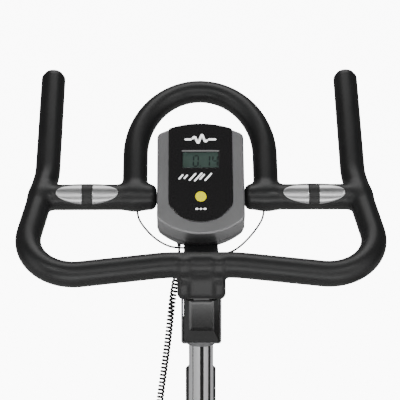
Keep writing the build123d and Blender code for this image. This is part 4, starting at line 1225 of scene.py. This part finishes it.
# ------------------------------------------------------------------ studio
@dataclass
class Studio:
    """A plain pale floor, soft light and the camera at the rider's side."""

    elevation: float = math.radians(14.0)
    distance: float = 2.0
    lift: float = 0.08125
    aside: float = -0.021
    turn: float = math.radians(-0.573)
    lens: float = 144.0
    floor_glow: float = 0.12
    floor_white: float = 10.0
    room: float = 0.10

    def camera(self) -> None:
        """Stands the camera off the lower bar, looking forwards and down."""
        forward = np.array([0.0, math.cos(self.elevation), -math.sin(self.elevation)])
        up = np.array([0.0, math.sin(self.elevation), math.cos(self.elevation)])
        data = bpy.data.cameras.new("camera")
        data.lens = self.lens
        data.sensor_width = 36.0
        data.clip_end = 100.0
        cam = bpy.data.objects.new("camera", data)
        cam.location = BAR - forward * self.distance + up * self.lift + np.array([self.aside, 0.0, 0.0])
        cam.rotation_euler = (math.pi / 2 - self.elevation, 0.0, self.turn)
        bpy.context.scene.collection.objects.link(cam)
        bpy.context.scene.camera = cam

    def floor(self) -> None:
        """A wide pale floor that rises far behind the object."""
        y = np.array([-6.0, 6.0, 8.0, 9.4, 10.2, 10.5, 10.6])
        z = np.array([-0.002, -0.002, 0.18, 0.8, 1.8, 3.2, 7.0])
        x = np.linspace(-9, 9, 5)
        verts = np.stack([np.tile(x, len(y)), np.repeat(y, len(x)), np.repeat(z, len(x))], 1)
        r, c = np.meshgrid(np.arange(len(y) - 1), np.arange(len(x) - 1), indexing="ij")
        n = len(x)
        quads = np.stack([r * n + c, r * n + c + 1, (r + 1) * n + c + 1, (r + 1) * n + c], -1).reshape(-1, 4)
        mat = bpy.data.materials.new("studio floor")
        mat.use_nodes = True
        tree = mat.node_tree
        shader = tree.nodes["Principled BSDF"]
        shader.inputs["Base Color"].default_value = (0.62, 0.62, 0.62, 1.0)
        shader.inputs["Roughness"].default_value = 0.9
        shader.inputs["Specular IOR Level"].default_value = 0.1
        shader.inputs["Emission Color"].default_value = (1.0, 1.0, 1.0, 1.0)
        seen = tree.nodes.new("ShaderNodeLightPath")
        strength = tree.nodes.new("ShaderNodeMapRange")
        strength.inputs["To Min"].default_value = self.floor_glow
        strength.inputs["To Max"].default_value = self.floor_white
        link(tree, seen.outputs["Is Camera Ray"], strength.inputs["Value"])
        link(tree, strength.outputs["Result"], shader.inputs["Emission Strength"])
        floor = mesh_piece("studio_floor", verts, quads, PRINT_WHITE_PAINTED_GLOW)
        floor.data.materials.clear()
        floor.data.materials.append(mat)

    def light(self, name: str, place: tuple, aim: tuple, size: tuple, power: float) -> None:
        """One rectangular softbox.

        Args:
            name: its name.
            place: where it stands.
            aim: what it points at.
            size: its two sides.
            power: its strength in watts.
        """
        data = bpy.data.lights.new(name, "AREA")
        data.shape = "RECTANGLE"
        data.size, data.size_y = size
        data.energy = power
        lamp = bpy.data.objects.new(name, data)
        lamp.location = place
        lamp.rotation_euler = (Vector(aim) - Vector(place)).to_track_quat("-Z", "Y").to_euler()
        bpy.context.scene.collection.objects.link(lamp)

    def card(self, name: str, azimuth: float, half: float, radius: float) -> None:
        """A dark upright card that only shows in reflections, bent round the post.

        Args:
            name: its name.
            azimuth: the middle's direction from the post, in degrees to the right of the camera's.
            half: half the arc that it covers, in degrees.
            radius: its distance from the post.
        """
        angle = np.radians(np.linspace(azimuth - half, azimuth + half, 13))
        x, y = radius * np.sin(angle), -radius * np.cos(angle)
        z = np.array([0.0, 0.25])
        verts = np.stack([np.tile(x, 2), np.tile(y, 2), np.repeat(z, 13)], 1)
        col = np.arange(12)
        quads = np.stack([col, col + 1, col + 14, col + 13], -1)
        card = mesh_piece(name, verts, quads, MATT_BLACK)
        card.visible_camera = card.visible_diffuse = card.visible_shadow = False

    def build(self) -> None:
        """Lights the room evenly, with soft boxes above, in front, below and at both sides."""
        self.camera()
        self.floor()
        world = bpy.data.worlds.new("studio")
        world.use_nodes = True
        world.node_tree.nodes["Background"].inputs["Color"].default_value = (1.0, 1.0, 1.0, 1.0)
        world.node_tree.nodes["Background"].inputs["Strength"].default_value = self.room
        bpy.context.scene.world = world
        self.light("top box", (0.0, 0.7, 2.4), (0.0, 0.1, 0.45), (1.6, 1.0), 15.0)
        self.light("front box", (0.0, -2.5, 1.9), (0.0, 0.0, 0.45), (1.4, 0.7), 12.0)
        self.light("low box", (0.0, -1.15, 0.02), (0.0, -0.3, 0.45), (1.9, 0.7), 15.0)
        self.light("left high box", (-0.9, -1.3, 1.9), (0.0, 0.0, 0.42), (0.35, 0.35), 6.0)
        self.light("right high box", (0.9, -1.3, 1.9), (0.0, 0.0, 0.42), (0.35, 0.35), 6.0)
        self.light("left box", (-1.9, -0.9, 0.8), (0.0, 0.0, 0.42), (1.0, 1.9), 9.0)
        self.light("right box", (1.7, -1.3, 0.8), (0.0, 0.0, 0.42), (0.8, 1.9), 8.0)
        self.card("dark_card_near", 7.0, 17.0, 0.45)
        self.card("dark_card_side", 84.0, 15.0, 0.40)
        log.info("studio")


def main() -> None:
    """Builds the studio, then the cockpit from its cords and frame outwards."""
    logging.basicConfig(level=logging.INFO, format="%(name)s: %(message)s")
    Studio().build()
    SensorCord().build()
    for lead in LEADS:
        lead.build()
    Frame().build()
    SliderEnd().build()
    PaddedBars().build()
    PulseSensors().build()
    Console().build()
    bpy.context.view_layer.update()


if __name__ == "__main__":
    main()
